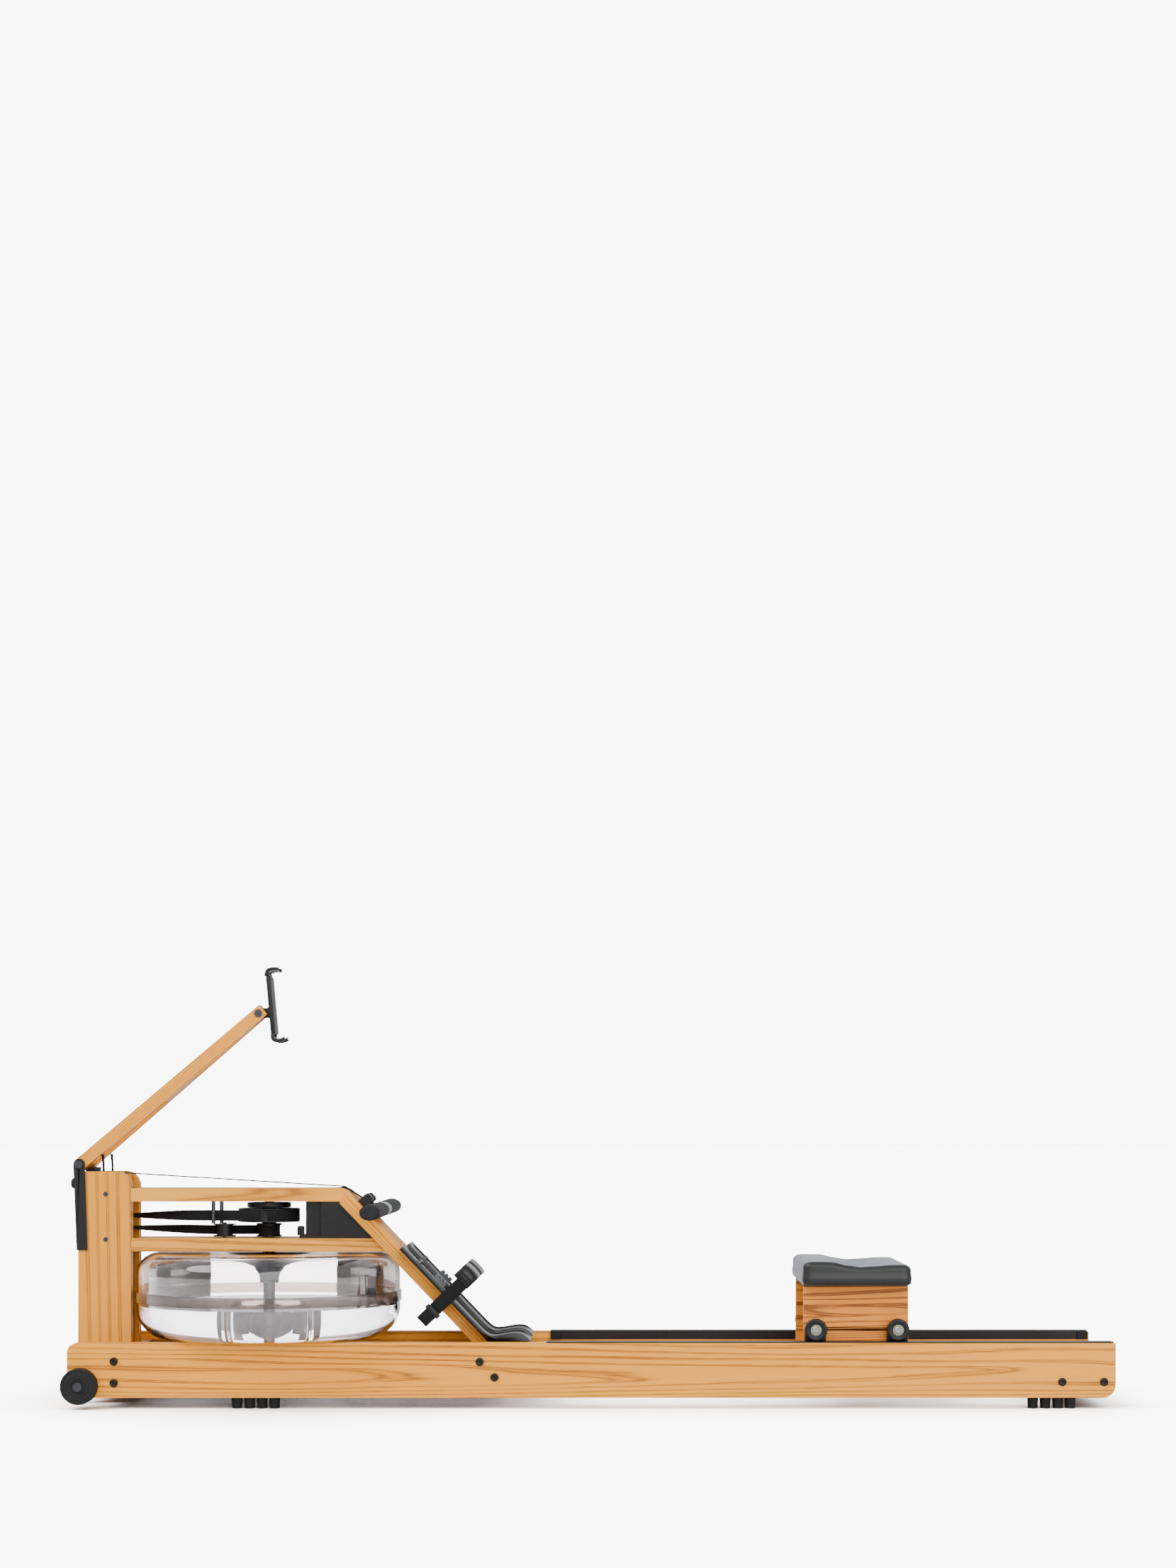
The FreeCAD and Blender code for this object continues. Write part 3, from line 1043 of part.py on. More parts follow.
def make_seat():
    """Seat carriage: two side boards, axles, guards, wheels, top plate and cushion."""
    holes = [rod(f"seat_hole_{i}", "seat_axle_r", x, "seat_wheel_z", "-seat_half - 1", "seat_half + 1")
             for i, x in enumerate(("seat_wheel_a", "seat_wheel_b"))]
    boards = [block("seat_board_left", "seat_front", "seat_rear", "seat_half - seat_board", "seat_half",
                    "seat_low", "seat_top"),
              block("seat_board_right", "seat_front", "seat_rear", "-seat_half", "seat_board - seat_half",
                    "seat_low", "seat_top")]
    node("seat_sides", cut("seat_sides_cut", group("seat_boards", *boards), *holes))
    node("seat_plate", block("seat_plate_block", "seat_front", "seat_rear", "-seat_plate_half",
                             "seat_plate_half", "seat_top", "seat_plate_high"))
    axles, guards = [], []
    for end, x in (("front", "seat_wheel_a"), ("rear", "seat_wheel_b")):
        axle, blocks = seat_fittings(end, x)
        axles.append(axle)
        guards += blocks
        wheels = [seat_wheel(f"seat_wheel_{end}_{side}", x, sign)
                  for side, sign in (("left", 1), ("right", -1))]
        node("seat_wheels_" + end, group(f"seat_wheel_{end}_pair", *wheels))
    node("seat_axles", group("seat_axle_set", *axles))
    node("seat_guards", group("seat_guard_set", *guards))
    hump = "(cushion_front + 40)"
    corners = [("cushion_front", "cushion_low"), ("cushion_rear", "cushion_low"),
               ("cushion_rear", "cushion_back"), ("(cushion_front + cushion_rear) / 2", "cushion_dip"),
               (hump, "cushion_hump"), ("cushion_front", "cushion_hump - 3")]
    cushion = profile("seat_cushion_body", corners, "2 * cushion_half", [([2, 5], "cushion_round")])
    node("seat_cushion", cushion)


# ---------------------------------------------------------------- build and export

def check_and_export():
    """Recompute, prove every object is sound, and write one STEP file per sub-part."""
    doc.recompute()
    for obj in doc.Objects:
        if "Invalid" in obj.State or "Error" in obj.State:
            raise RuntimeError(f"{obj.Name} did not rebuild: {obj.State}")
    os.makedirs("parts", exist_ok=True)
    for obj in NODES:
        if obj.Shape.isNull() or not obj.Shape.isValid() or not obj.Shape.Solids:
            raise RuntimeError(f"{obj.Label} has no sound solid")
        obj.Shape.exportStep(f"parts/{obj.Label}.step")
    print(f"{len(NODES)} sub-parts written")


fill_sheet()
make_rails()
make_spacers()
make_bolts()
make_feet()
make_tracks()
stub_axles = make_transport_wheels()
make_uprights()
make_decks()
make_footboard()
make_housing()
make_tank()
make_bearings()
make_shaft_and_paddle()
make_spool()
make_pulleys(stub_axles)
make_rollers()
make_drive_strap()
make_recoil_strap()
make_handle()
make_strap_tail()
make_handle_rests()
make_foot_plates()
node("foot_straps", group("foot_strap_set", foot_strap("left", ""), foot_strap("right", "-")))
make_bracket()
make_hinge_fittings()
make_arm()
make_holder()
make_seat()
check_and_export()
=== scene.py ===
import json
import math

import bmesh
import bpy
from mathutils import Matrix, Vector


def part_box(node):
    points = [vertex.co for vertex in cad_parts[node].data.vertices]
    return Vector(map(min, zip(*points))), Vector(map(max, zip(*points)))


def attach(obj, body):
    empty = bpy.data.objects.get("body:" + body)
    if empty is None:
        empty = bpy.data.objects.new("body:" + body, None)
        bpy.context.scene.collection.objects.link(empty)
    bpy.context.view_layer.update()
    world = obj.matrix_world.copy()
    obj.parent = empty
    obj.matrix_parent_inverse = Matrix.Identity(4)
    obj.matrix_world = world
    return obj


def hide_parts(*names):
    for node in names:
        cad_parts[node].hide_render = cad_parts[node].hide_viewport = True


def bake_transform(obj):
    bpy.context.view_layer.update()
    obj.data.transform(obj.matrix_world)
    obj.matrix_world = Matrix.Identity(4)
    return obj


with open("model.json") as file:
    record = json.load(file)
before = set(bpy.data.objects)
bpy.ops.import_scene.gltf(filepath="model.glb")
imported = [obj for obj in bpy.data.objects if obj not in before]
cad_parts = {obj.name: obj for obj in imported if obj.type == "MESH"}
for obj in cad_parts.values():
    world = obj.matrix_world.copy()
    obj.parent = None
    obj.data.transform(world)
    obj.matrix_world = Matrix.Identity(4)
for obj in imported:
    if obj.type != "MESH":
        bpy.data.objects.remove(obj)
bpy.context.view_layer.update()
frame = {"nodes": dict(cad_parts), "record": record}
nodes = frame["nodes"]
TAU = 2 * math.pi
SIDES = (("left", 1), ("right", -1))
WHITE = (1, 1, 1, 1)
BACKDROP = 8.3  # strength of the surroundings where the camera sees them
SURROUND = 1.15  # their strength as a light
FLOOR = 4.25  # albedo of the floor the camera sees, as bright as the backdrop
FLOOR_BOUNCE = 0.62  # albedo of the floor that sends light back up
CONTACT_REACH = 0.3  # spread of the contact shadow


# ---- camera, lights, floor

def make_camera():
    """The camera stands level with the footboard, looking square at the machine's right side."""
    data = bpy.data.cameras.new("camera")
    data.sensor_width = 36
    data.lens = 58.43
    data.shift_x = -0.0228
    data.shift_y = 0.2202
    data.clip_end = 200
    cam = bpy.data.objects.new("camera", data)
    cam.location = (0.06875, -5.2325, 0.557)
    cam.rotation_euler = (math.radians(90), 0, 0)
    bpy.context.scene.collection.objects.link(cam)
    bpy.context.scene.camera = cam


def sun(name, source, power, spread):
    """A broad soft light from one side, even over the whole floor."""
    data = bpy.data.lights.new(name, "SUN")
    data.energy = power
    data.angle = math.radians(spread)
    lamp = bpy.data.objects.new(name, data)
    lamp.rotation_euler = (-Vector(source)).to_track_quat("-Z", "Y").to_euler()
    bpy.context.scene.collection.objects.link(lamp)


def make_world():
    """Pale surroundings: near white to the camera and through clear walls, gentler as a light."""
    world = bpy.data.worlds.new("studio")
    world.use_nodes = True
    bpy.context.scene.world = world
    tree = world.node_tree
    soft = tree.nodes["Background"]
    bright = tree.nodes.new("ShaderNodeBackground")
    for sky, strength in ((soft, SURROUND), (bright, BACKDROP)):
        sky.inputs["Color"].default_value = WHITE
        sky.inputs["Strength"].default_value = strength
    path = tree.nodes.new("ShaderNodeLightPath")
    pick = tree.nodes.new("ShaderNodeMixShader")
    straight, through, seen = [tree.nodes.new("ShaderNodeMath") for _ in range(3)]
    straight.operation = "LESS_THAN"
    straight.inputs[1].default_value = 0.5
    through.operation = "MULTIPLY"
    seen.operation = "MAXIMUM"
    for out, into in ((path.outputs["Glossy Depth"], straight.inputs[0]),
                      (path.outputs["Is Transmission Ray"], through.inputs[0]),
                      (straight.outputs[0], through.inputs[1]),
                      (path.outputs["Is Camera Ray"], seen.inputs[0]),
                      (through.outputs[0], seen.inputs[1]),
                      (seen.outputs[0], pick.inputs[0]),
                      (soft.outputs[0], pick.inputs[1]),
                      (bright.outputs[0], pick.inputs[2]),
                      (pick.outputs[0], tree.nodes["World Output"].inputs[0])):
        tree.links.new(out, into)


def mesh_object(name, verts, faces):
    """A mesh in the scene under a name."""
    mesh = bpy.data.meshes.new(name)
    mesh.from_pydata([tuple(v) for v in verts], [], faces)
    obj = bpy.data.objects.new(name, mesh)
    bpy.context.scene.collection.objects.link(obj)
    return obj


def hide_from(obj, *rays):
    """Hide an object from some kinds of ray."""
    for ray in rays:
        setattr(obj, "visible_" + ray, False)


def floor_sheet(name, albedo, contact=False):
    """One very wide matte sheet on the ground, with a contact shadow if wanted."""
    side = 80
    corners = [(-side, -side, 0), (side, -side, 0), (side, side, 0), (-side, side, 0)]
    sheet = mesh_object(name, corners, [(0, 1, 2, 3)])
    mat = bpy.data.materials.new(name)
    mat.use_nodes = True
    tree = mat.node_tree
    tree.nodes.clear()
    out = tree.nodes.new("ShaderNodeOutputMaterial")
    matte = tree.nodes.new("ShaderNodeBsdfDiffuse")
    matte.inputs["Color"].default_value = grey(albedo)
    tree.links.new(matte.outputs[0], out.inputs[0])
    if contact:
        near = tree.nodes.new("ShaderNodeAmbientOcclusion")
        near.inputs["Color"].default_value = grey(albedo)
        near.inputs["Distance"].default_value = CONTACT_REACH
        tree.links.new(near.outputs["Color"], matte.inputs["Color"])
    sheet.data.materials.append(mat)
    return sheet


def make_floor():
    """The sheet the camera sees, and a plainer one just under it that sends light back up."""
    seen = floor_sheet("floor", FLOOR, True)
    hide_from(seen, "diffuse", "glossy", "shadow")
    bounce = floor_sheet("floor_bounce", FLOOR_BOUNCE)
    bounce.location.z = -0.0005
    hide_from(bounce, "camera", "transmission")


# ---- materials

def srgb(r, g, b):
    """A colour given in 0-255 display values, as the shader wants it."""
    def one(v):
        v /= 255
        return v / 12.92 if v <= 0.04045 else ((v + 0.055) / 1.055) ** 2.4
    return one(r), one(g), one(b), 1.0


class Shader:
    """A material being built from nodes."""

    def __init__(self, name):
        self.mat = bpy.data.materials.new(name)
        self.mat.use_nodes = True
        self.tree = self.mat.node_tree
        self.bsdf = self.tree.nodes["Principled BSDF"]

    def set(self, **values):
        """Uniform values, straight on the shader."""
        for name, value in values.items():
            self.bsdf.inputs[name.replace("_", " ")].default_value = value
        return self

    def add(self, kind, **values):
        node = self.tree.nodes.new("ShaderNode" + kind)
        for name, value in values.items():
            if hasattr(node, name):
                setattr(node, name, value)
            else:
                node.inputs[name.replace("_", " ")].default_value = value
        return node

    def wire(self, out, into):
        self.tree.links.new(out, into)
        return self

    def coords(self, scale=(1, 1, 1), turn=(0, 0, 0), shift=(0, 0, 0)):
        """Object coordinates, shifted, turned, then stretched."""
        place = self.add("TexCoord")
        turned = self.add("Mapping")
        turned.inputs["Location"].default_value = shift
        turned.inputs["Rotation"].default_value = [math.radians(a) for a in turn]
        self.wire(place.outputs["Object"], turned.inputs["Vector"])
        stretched = self.add("Mapping")
        stretched.inputs["Scale"].default_value = scale
        self.wire(turned.outputs[0], stretched.inputs["Vector"])
        return stretched.outputs[0]

    def noise(self, vector, scale, detail=3.0, rough=0.5):
        node = self.add("TexNoise", Scale=scale, Detail=detail, Roughness=rough)
        self.wire(vector, node.inputs["Vector"])
        return node.outputs["Fac"]

    def ramp(self, value, stops):
        node = self.add("ValToRGB")
        ramp = node.color_ramp
        while len(ramp.elements) < len(stops):
            ramp.elements.new(0.5)
        for element, (place, colour) in zip(ramp.elements, stops):
            element.position = place
            element.color = colour if len(colour) == 4 else (*colour, 1)
        self.wire(value, node.inputs[0])
        return node.outputs[0]

    def maths(self, how, a, b):
        node = self.add("Math")
        node.operation = how
        for socket, value in zip(node.inputs, (a, b)):
            if isinstance(value, (float, int)):
                socket.default_value = value
            else:
                self.wire(value, socket)
        return node.outputs[0]

    def bump(self, height, strength, distance):
        node = self.add("Bump", Strength=strength, Distance=distance)
        self.wire(height, node.inputs["Height"])
        self.wire(node.outputs[0], self.bsdf.inputs["Normal"])
        return self

    def colour(self, out):
        return self.wire(out, self.bsdf.inputs["Base Color"])

    def rough(self, value, low, high):
        """Roughness that follows a texture between two limits."""
        node = self.add("MapRange")
        node.inputs["To Min"].default_value = low
        node.inputs["To Max"].default_value = high
        self.wire(value, node.inputs["Value"])
        return self.wire(node.outputs[0], self.bsdf.inputs["Roughness"])


def grey(value):
    return (value, value, value, 1)


def scaled(colour, by, lift=0.0):
    """A colour made lighter or darker."""
    return tuple(min(1, c * by + lift) for c in colour[:3]) + (1,)


def wood(name, light, dark, turn=(0, 0, 0), heart=(0, 0, 0), spread=22.0, rings=46.0, contrast=0.62):
    """Lacquered oak: growth rings round a hidden heart line, fibres and open pores along the grain."""
    s = Shader(name)
    s.set(Specular_IOR_Level=0.22)
    long = s.coords((0.045, 1, 1), turn, heart)
    ring = s.add("TexWave", wave_type="RINGS", rings_direction="X", wave_profile="SIN", Scale=rings,
                 Distortion=spread, Detail=2.5, Detail_Scale=0.28, Detail_Roughness=0.45)
    s.wire(long, ring.inputs["Vector"])
    lines = s.ramp(ring.outputs["Fac"], [(0.0, grey(0)), (0.55, grey(0.1)), (0.8, grey(0.55)),
                                         (0.93, grey(1.0)), (1.0, grey(0.6))])
    fibre = s.noise(s.coords((14, 620, 620), turn, heart), 1.0, 4.0, 0.62)
    pores = s.ramp(s.noise(s.coords((22, 900, 900), turn, heart), 1.0, 2.0, 0.5),
                   [(0.0, grey(0)), (0.6, grey(0)), (0.72, grey(1))])
    broad = s.noise(s.coords((1.3, 16, 16), turn, heart), 1.0, 3.0, 0.55)
    pores_in_rings = s.maths("MULTIPLY", pores, s.maths("ADD", s.maths("MULTIPLY", lines, 0.6), 0.25))
    share = s.maths("MULTIPLY", lines, contrast)
    for part, weight in ((s.maths("SUBTRACT", fibre, 0.5), 0.75), (s.maths("SUBTRACT", broad, 0.5), 0.55),
                         (pores_in_rings, 0.45)):
        share = s.maths("ADD", share, s.maths("MULTIPLY", part, weight))
    base = s.ramp(share, [(0.0, light), (0.3, tuple(a * 0.72 + b * 0.28 for a, b in zip(light, dark))),
                          (0.62, dark), (1.0, scaled(dark, 0.62))])
    s.colour(base)
    s.rough(fibre, 0.36, 0.52)
    height = s.maths("SUBTRACT", s.maths("MULTIPLY", fibre, 0.5), s.maths("MULTIPLY", pores, 0.6))
    s.bump(height, 0.25, 0.0003)
    return s.mat


def plastic(name, colour, low=0.34, high=0.5, grain=900, strength=0.12, coat=0.0):
    """Moulded plastic or paint with a fine orange-peel skin and slight dulling."""
    s = Shader(name)
    s.set(Specular_IOR_Level=0.25)
    if coat:
        s.set(Coat_Weight=coat, Coat_Roughness=0.08)
    fine = s.noise(s.coords(), grain, 2.0)
    broad = s.noise(s.coords(), 14, 3.0)
    s.colour(s.ramp(broad, [(0.35, colour), (0.75, scaled(colour, 1.4, 0.001))]))
    s.rough(broad, low, high)
    s.bump(fine, strength, 0.00015)
    return s.mat


def rubber(name, colour, grain=420):
    """Matte rubber with a pebbled skin."""
    s = Shader(name)
    s.set(Specular_IOR_Level=0.2)
    cells = s.add("TexVoronoi", Scale=grain, Randomness=0.9)
    s.wire(s.coords(), cells.inputs["Vector"])
    broad = s.noise(s.coords(), 9, 3.0)
    s.colour(s.ramp(broad, [(0.3, colour), (0.8, scaled(colour, 1.5, 0.001))]))
    s.rough(broad, 0.55, 0.72)
    s.bump(cells.outputs["Distance"], 0.18, 0.0003)
    return s.mat


def cushion_skin(name):
    """Dark moulded foam skin with a pale blue-grey sheen."""
    s = Shader(name)
    s.set(Specular_IOR_Level=0.35, Sheen_Weight=0.55, Sheen_Roughness=0.3,
          Sheen_Tint=srgb(205, 212, 226))
    broad = s.noise(s.coords(), 12, 3.0)
    s.colour(s.ramp(broad, [(0.3, srgb(17, 18, 18)), (0.8, srgb(23, 24, 24))]))
    s.rough(broad, 0.36, 0.48)
    s.bump(s.noise(s.coords(), 1100, 2.0), 0.12, 0.00015)
    return s.mat


def foam(name, colour):
    """Closed-cell grip foam: soft, dark, with small pits."""
    s = Shader(name)
    s.set(Specular_IOR_Level=0.2)
    pits = s.add("TexVoronoi", Scale=760, Randomness=1.0)
    s.wire(s.coords(), pits.inputs["Vector"])
    broad = s.noise(s.coords(), 30, 4.0, 0.6)
    s.colour(s.ramp(broad, [(0.3, colour), (0.75, scaled(colour, 1.7))]))
    s.rough(broad, 0.62, 0.8)
    s.bump(pits.outputs["Distance"], 0.35, 0.0004)
    return s.mat


def webbing(name, colour, turn=(0, 0, 0)):
    """Woven nylon: raised cross ribs with a finer weave over them."""
    s = Shader(name)
    s.set(Specular_IOR_Level=0.15)
    ribs = s.add("TexWave", wave_type="BANDS", bands_direction="X", Scale=1.0)
    s.wire(s.coords((520, 520, 520), turn), ribs.inputs["Vector"])
    weave = s.noise(s.coords((2200, 1100, 2200), turn), 1.0, 2.0)
    both = s.maths("ADD", s.maths("MULTIPLY", ribs.outputs["Fac"], 0.7), s.maths("MULTIPLY", weave, 0.5))
    s.colour(s.ramp(both, [(0.2, scaled(colour, 0.5)), (0.9, scaled(colour, 1.7))]))
    s.rough(weave, 0.55, 0.8)
    s.bump(both, 0.5, 0.0004)
    return s.mat


def metal(name, colour, low=0.22, high=0.4):
    """Brushed metal with fine scratches along one way."""
    s = Shader(name)
    s.set(Metallic=1.0)
    streak = s.noise(s.coords((30, 900, 900)), 1.0, 3.0, 0.6)
    s.colour(s.ramp(streak, [(0.25, scaled(colour, 0.8)), (0.8, colour)]))
    s.rough(streak, low, high)
    s.bump(streak, 0.06, 0.0001)
    return s.mat


def clear(name, tint, ior, low=0.0, high=0.03, weight=1.0):
    """Clear plastic or water, with faint unevenness."""
    s = Shader(name)
    s.set(Transmission_Weight=weight, IOR=ior)
    wave = s.noise(s.coords(), 5, 2.0)
    s.colour(s.ramp(wave, [(0.3, tint), (0.8, scaled(tint, 1.04))]))
    s.rough(wave, low, high)
    return s.mat


BOARD_TURN = (0, -46.27, 0)
OAK_LIGHT, OAK_DARK = (0.8, 0.31, 0.018, 1), (0.34, 0.115, 0.004, 1)
DECK_LIGHT, DECK_DARK = (0.78, 0.32, 0.03, 1), (0.36, 0.125, 0.006, 1)
LOOKS = {
    "rail_near": (wood, OAK_LIGHT, OAK_DARK, (0.6, 0.35, 0.5), (0.3, 0.215, -0.075)),
    "rail_far": (wood, OAK_LIGHT, OAK_DARK, (0.8, -0.3, 0.4), (1.7, -0.21, -0.07)),
    "upright": (wood, (0.7, 0.27, 0.016, 1), (0.3, 0.1, 0.004, 1), (0, 90, 0), (0.1, 0.1, 0.985),
                26.0, 14.0),
    "deck": (wood, DECK_LIGHT, DECK_DARK, (0.5, 0.6, 0.4), (0.8, 0.13, -0.44), 14.0, 60.0),
    "deck_low": (wood, DECK_LIGHT, DECK_DARK, (0.5, -0.6, 0.4), (2.1, 0.16, -0.3), 14.0, 60.0),
    "board": (wood, OAK_LIGHT, DECK_DARK, BOARD_TURN, (0.4, 0.06, -0.1), 20.0, 50.0),
    "arm": (wood, OAK_LIGHT, (0.38, 0.13, 0.006, 1), (0, 40.7, 0), (0.2, 0.1, 0.02), 16.0, 62.0),
    "seat_box": (wood, (0.74, 0.235, 0.02, 1), (0.24, 0.066, 0.006, 1), (0.6, 0.5, 0.3), (0.2, 0.18, -0.2),
                 30.0, 60.0, 0.75),
    "spacer": (wood, (0.42, 0.17, 0.04, 1), (0.2, 0.075, 0.018, 1), (0, 0, 90), (0, 0.2, 0.0), 18.0, 50.0),
    "black": (plastic, srgb(12, 12, 13)),
    "gloss_black": (plastic, srgb(8, 8, 9), 0.22, 0.34, 500, 0.04, 0.06),
    "black_paint": (plastic, srgb(15, 15, 16), 0.38, 0.55, 1500, 0.2),
    "rib_grey": (plastic, srgb(76, 78, 82), 0.4, 0.55),
    "sleeve": (plastic, srgb(128, 131, 136), 0.5, 0.65, 600, 0.2),
    "rubber": (rubber, srgb(12, 12, 13)),
    "tyre": (rubber, srgb(18, 18, 19), 900),
    "foam": (foam, srgb(20, 21, 23)),
    "cushion": (cushion_skin,),
    "web": (webbing, srgb(14, 14, 15)),
    "web_slope": (webbing, srgb(14, 14, 15), BOARD_TURN),
    "steel": (metal, srgb(150, 152, 156)),
    "dark_steel": (metal, srgb(70, 71, 74), 0.3, 0.45),
    "paddle": (plastic, srgb(26, 31, 35), 0.3, 0.45),
    "shell": (clear, srgb(232, 227, 228), 1.45),
    "band": (clear, srgb(150, 138, 134), 1.45, 0.05, 0.15, 0.95),
    "water": (clear, srgb(236, 242, 246), 1.33),
    "hub": (plastic, srgb(128, 131, 112), 0.3, 0.45),
    "bolt_black": (plastic, srgb(14, 11, 9), 0.25, 0.38),
    "wheel_black": (plastic, srgb(11, 11, 12), 0.38, 0.5, 1200, 0.1),
    "pad_black": (plastic, srgb(12, 12, 14), 0.2, 0.34, 700, 0.08),
    "pale_grey": (plastic, srgb(120, 122, 124), 0.4, 0.55),
    "thread": (plastic, srgb(34, 34, 36), 0.6, 0.8),
}
MATS = {name: make(name, *values) for name, (make, *values) in LOOKS.items()}

CAD_LOOKS = {
    "rail_near": "rail_right", "rail_far": "rail_left", "upright": "upright_right upright_left",
    "deck": "top_deck", "deck_low": "lower_deck", "board": "footboard", "arm": "arm_beam",
    "seat_box": "seat_sides", "spacer": "front_spacers rear_spacers",
    "shell": "tank_lower_shell tank_upper_shell", "band": "tank_ring", "water": "tank_water",
    "black": "speed_sensor drive_spool front_pulley recoil_pulley corner_roller guide_roller "
             "handle_rests clamp_knob rail_bolts seat_guards tracks",
    "black_paint": "control_housing arm_bracket holder_mount holder_bar upper_jaw seat_plate",
    "gloss_black": "heel_rest_left heel_rest_right", "rib_grey": "toe_ribs_left toe_ribs_right",
    "steel": "adjusting_pegs seat_axles", "paddle": "shaft_bearings paddle",
    "dark_steel": "drive_shaft fixed_axles guide_posts hinge_pin tilt_bolt",
    "web": "drive_strap recoil_strap strap_tail stay_cords", "web_slope": "foot_straps",
    "foam": "handle_grips", "sleeve": "handle_core", "cushion": "seat_cushion",
    "rubber": "rubber_feet stop_bumper track_stops",
    "tyre": "transport_wheel_left transport_wheel_right seat_wheels_front seat_wheels_rear",
}
SOFT_EDGES_MM = {
    2.2: "rail_right rail_left", 2.0: "upright_right upright_left seat_guards", 1.8: "arm_beam",
    1.5: "lower_deck footboard seat_sides",
    1.2: "top_deck control_housing heel_rest_left heel_rest_right",
    1.0: "front_spacers rear_spacers stop_bumper", 0.8: "arm_bracket holder_bar upper_jaw",
    0.6: "drive_spool front_pulley toe_ribs_left toe_ribs_right", 0.5: "tracks",
}


def dress_frame():
    """Give each CAD node its material, and soft edges where the real edge is eased."""
    for look, names in CAD_LOOKS.items():
        for name in names.split():
            mesh = nodes[name].data
            mesh.materials.clear()
            mesh.materials.append(MATS[look])
    for width, names in SOFT_EDGES_MM.items():
        for name in names.split():
            obj = nodes[name]
            weld = obj.modifiers.new("weld", "WELD")
            weld.merge_threshold = 1e-5
            bevel = obj.modifiers.new("eased", "BEVEL")
            bevel.width = width / 1000
            bevel.segments = 3
            bevel.limit_method = "ANGLE"
            bevel.angle_limit = math.radians(40)


make_camera()
make_world()
sun("key", (-1.0, -0.55, 1.3), 3.0, 40)
sun("fill", (0.45, -1.2, 0.4), 2.6, 50)
make_floor()
dress_frame()

# ---- building blocks

def eased(points, radius, steps=4, closed=True):
    """Round the corners of a flat outline; a corner may give its own radius as a third number."""
    count, result = len(points), []
    for i, corner in enumerate(points):
        here = Vector(corner[:2])
        if not closed and i in (0, count - 1):
            result.append(tuple(here))
            continue
        before, after = Vector(points[i - 1][:2]) - here, Vector(points[(i + 1) % count][:2]) - here
        wanted = corner[2] if len(corner) > 2 else radius
        angle = before.angle(after, math.pi)
        if wanted <= 0 or angle > 3.1 or angle < 0.05:
            result.append(tuple(here))
            continue
        reach = min(wanted / math.tan(angle / 2), 0.49 * before.length, 0.49 * after.length)
        start, end = here + before.normalized() * reach, here + after.normalized() * reach
        for k in range(steps + 1):
            t = k / steps
            result.append(tuple(start * (1 - t) ** 2 + here * 2 * t * (1 - t) + end * t * t))
    return result


def piece(name, verts, faces, look, body, slot, hides=(), sharp=34):
    """A finished mesh that rides on a body; body None leaves it unattached."""
    obj = mesh_object(name, verts, faces)
    mesh = obj.data
    work = bmesh.new()
    work.from_mesh(mesh)
    bmesh.ops.remove_doubles(work, verts=work.verts, dist=1e-6)
    bmesh.ops.recalc_face_normals(work, faces=work.faces)
    work.to_mesh(mesh)
    work.free()
    mesh.polygons.foreach_set("use_smooth", [True] * len(mesh.polygons))
    mesh.set_sharp_from_angle(angle=math.radians(sharp))
    mesh.materials.append(MATS[look])
    if body:
        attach(obj, body)
    if hides:
        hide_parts(*hides)
    return obj


def rings_to_faces(rings, size, closed=False, caps=True):
    """Faces between rings of points stored one after another."""
    faces = []
    for i in range(rings if closed else rings - 1):
        j = (i + 1) % rings
        for k in range(size):
            m = (k + 1) % size
            faces.append((i * size + k, i * size + m, j * size + m, j * size + k))
    if caps and not closed:
        faces.append(tuple(range(size)))
        faces.append(tuple((rings - 1) * size + k for k in range(size)))
    return faces


def circle(steps):
    """Even points round a unit circle."""
    return [(math.cos(TAU * k / steps), math.sin(TAU * k / steps)) for k in range(steps)]


def lathe_parts(outline, centre, axis, steps=64):
    """Points and faces of an outline of (radius, distance) turned about an axis."""
    centre, axis = Vector(centre), Vector(axis).normalized()
    side = axis.orthogonal().normalized()
    other = axis.cross(side)
    verts = []
    for a, b in circle(steps):
        away = side * a + other * b
        verts += [centre + axis * t + away * r for r, t in outline]
    return verts, rings_to_faces(steps, len(outline), True)


def merged(parts):
    """Several (points, faces) sets as one."""
    verts, faces = [], []
    for some, these in parts:
        base = len(verts)
        verts += list(some)
        faces += [tuple(i + base for i in face) for face in these]
    return verts, faces


def swept(stations, section, closed=False):
    """A section of (side, up) points carried along stations of (point, side, up)."""
    verts = []
    for point, side, up in stations:
        verts += [point + side * a + up * b for a, b in section]
    return verts, rings_to_faces(len(stations), len(section), closed)


def heading(path, i):
    """The way a path of points runs at one of them."""
    return (path[min(i + 1, len(path) - 1)] - path[max(i - 1, 0)]).normalized()


def ribbon(path, sides, section):
    """A strap along a path of points, each with the direction its width points."""
    stations = []
    for i, point in enumerate(path):
        ahead = heading(path, i)
        side = (sides[i] - ahead * sides[i].dot(ahead)).normalized()
        stations.append((point, side, ahead.cross(side).normalized()))
    return swept(stations, section)


def slab(half, thick, edge=0.0008):
    """The cross-section of a flat strap."""
    low = thick / 2
    return eased([(-half, -low), (half, -low), (half, low), (-half, low)], min(edge, 0.49 * thick), 3)


def curve(points, steps=6):
    """A smooth line through points."""
    points = [Vector(p) for p in points]
    ends = [points[0] * 2 - points[1]] + points + [points[-1] * 2 - points[-2]]
    line = []
    for a, b, c, d in zip(ends, ends[1:], ends[2:], ends[3:]):
        for k in range(steps):
            t = k / steps
            line.append(0.5 * (2 * b + (c - a) * t + (2 * a - 5 * b + 4 * c - d) * t * t
                               + (3 * b - a - 3 * c + d) * t ** 3))
    return line + [points[-1]]


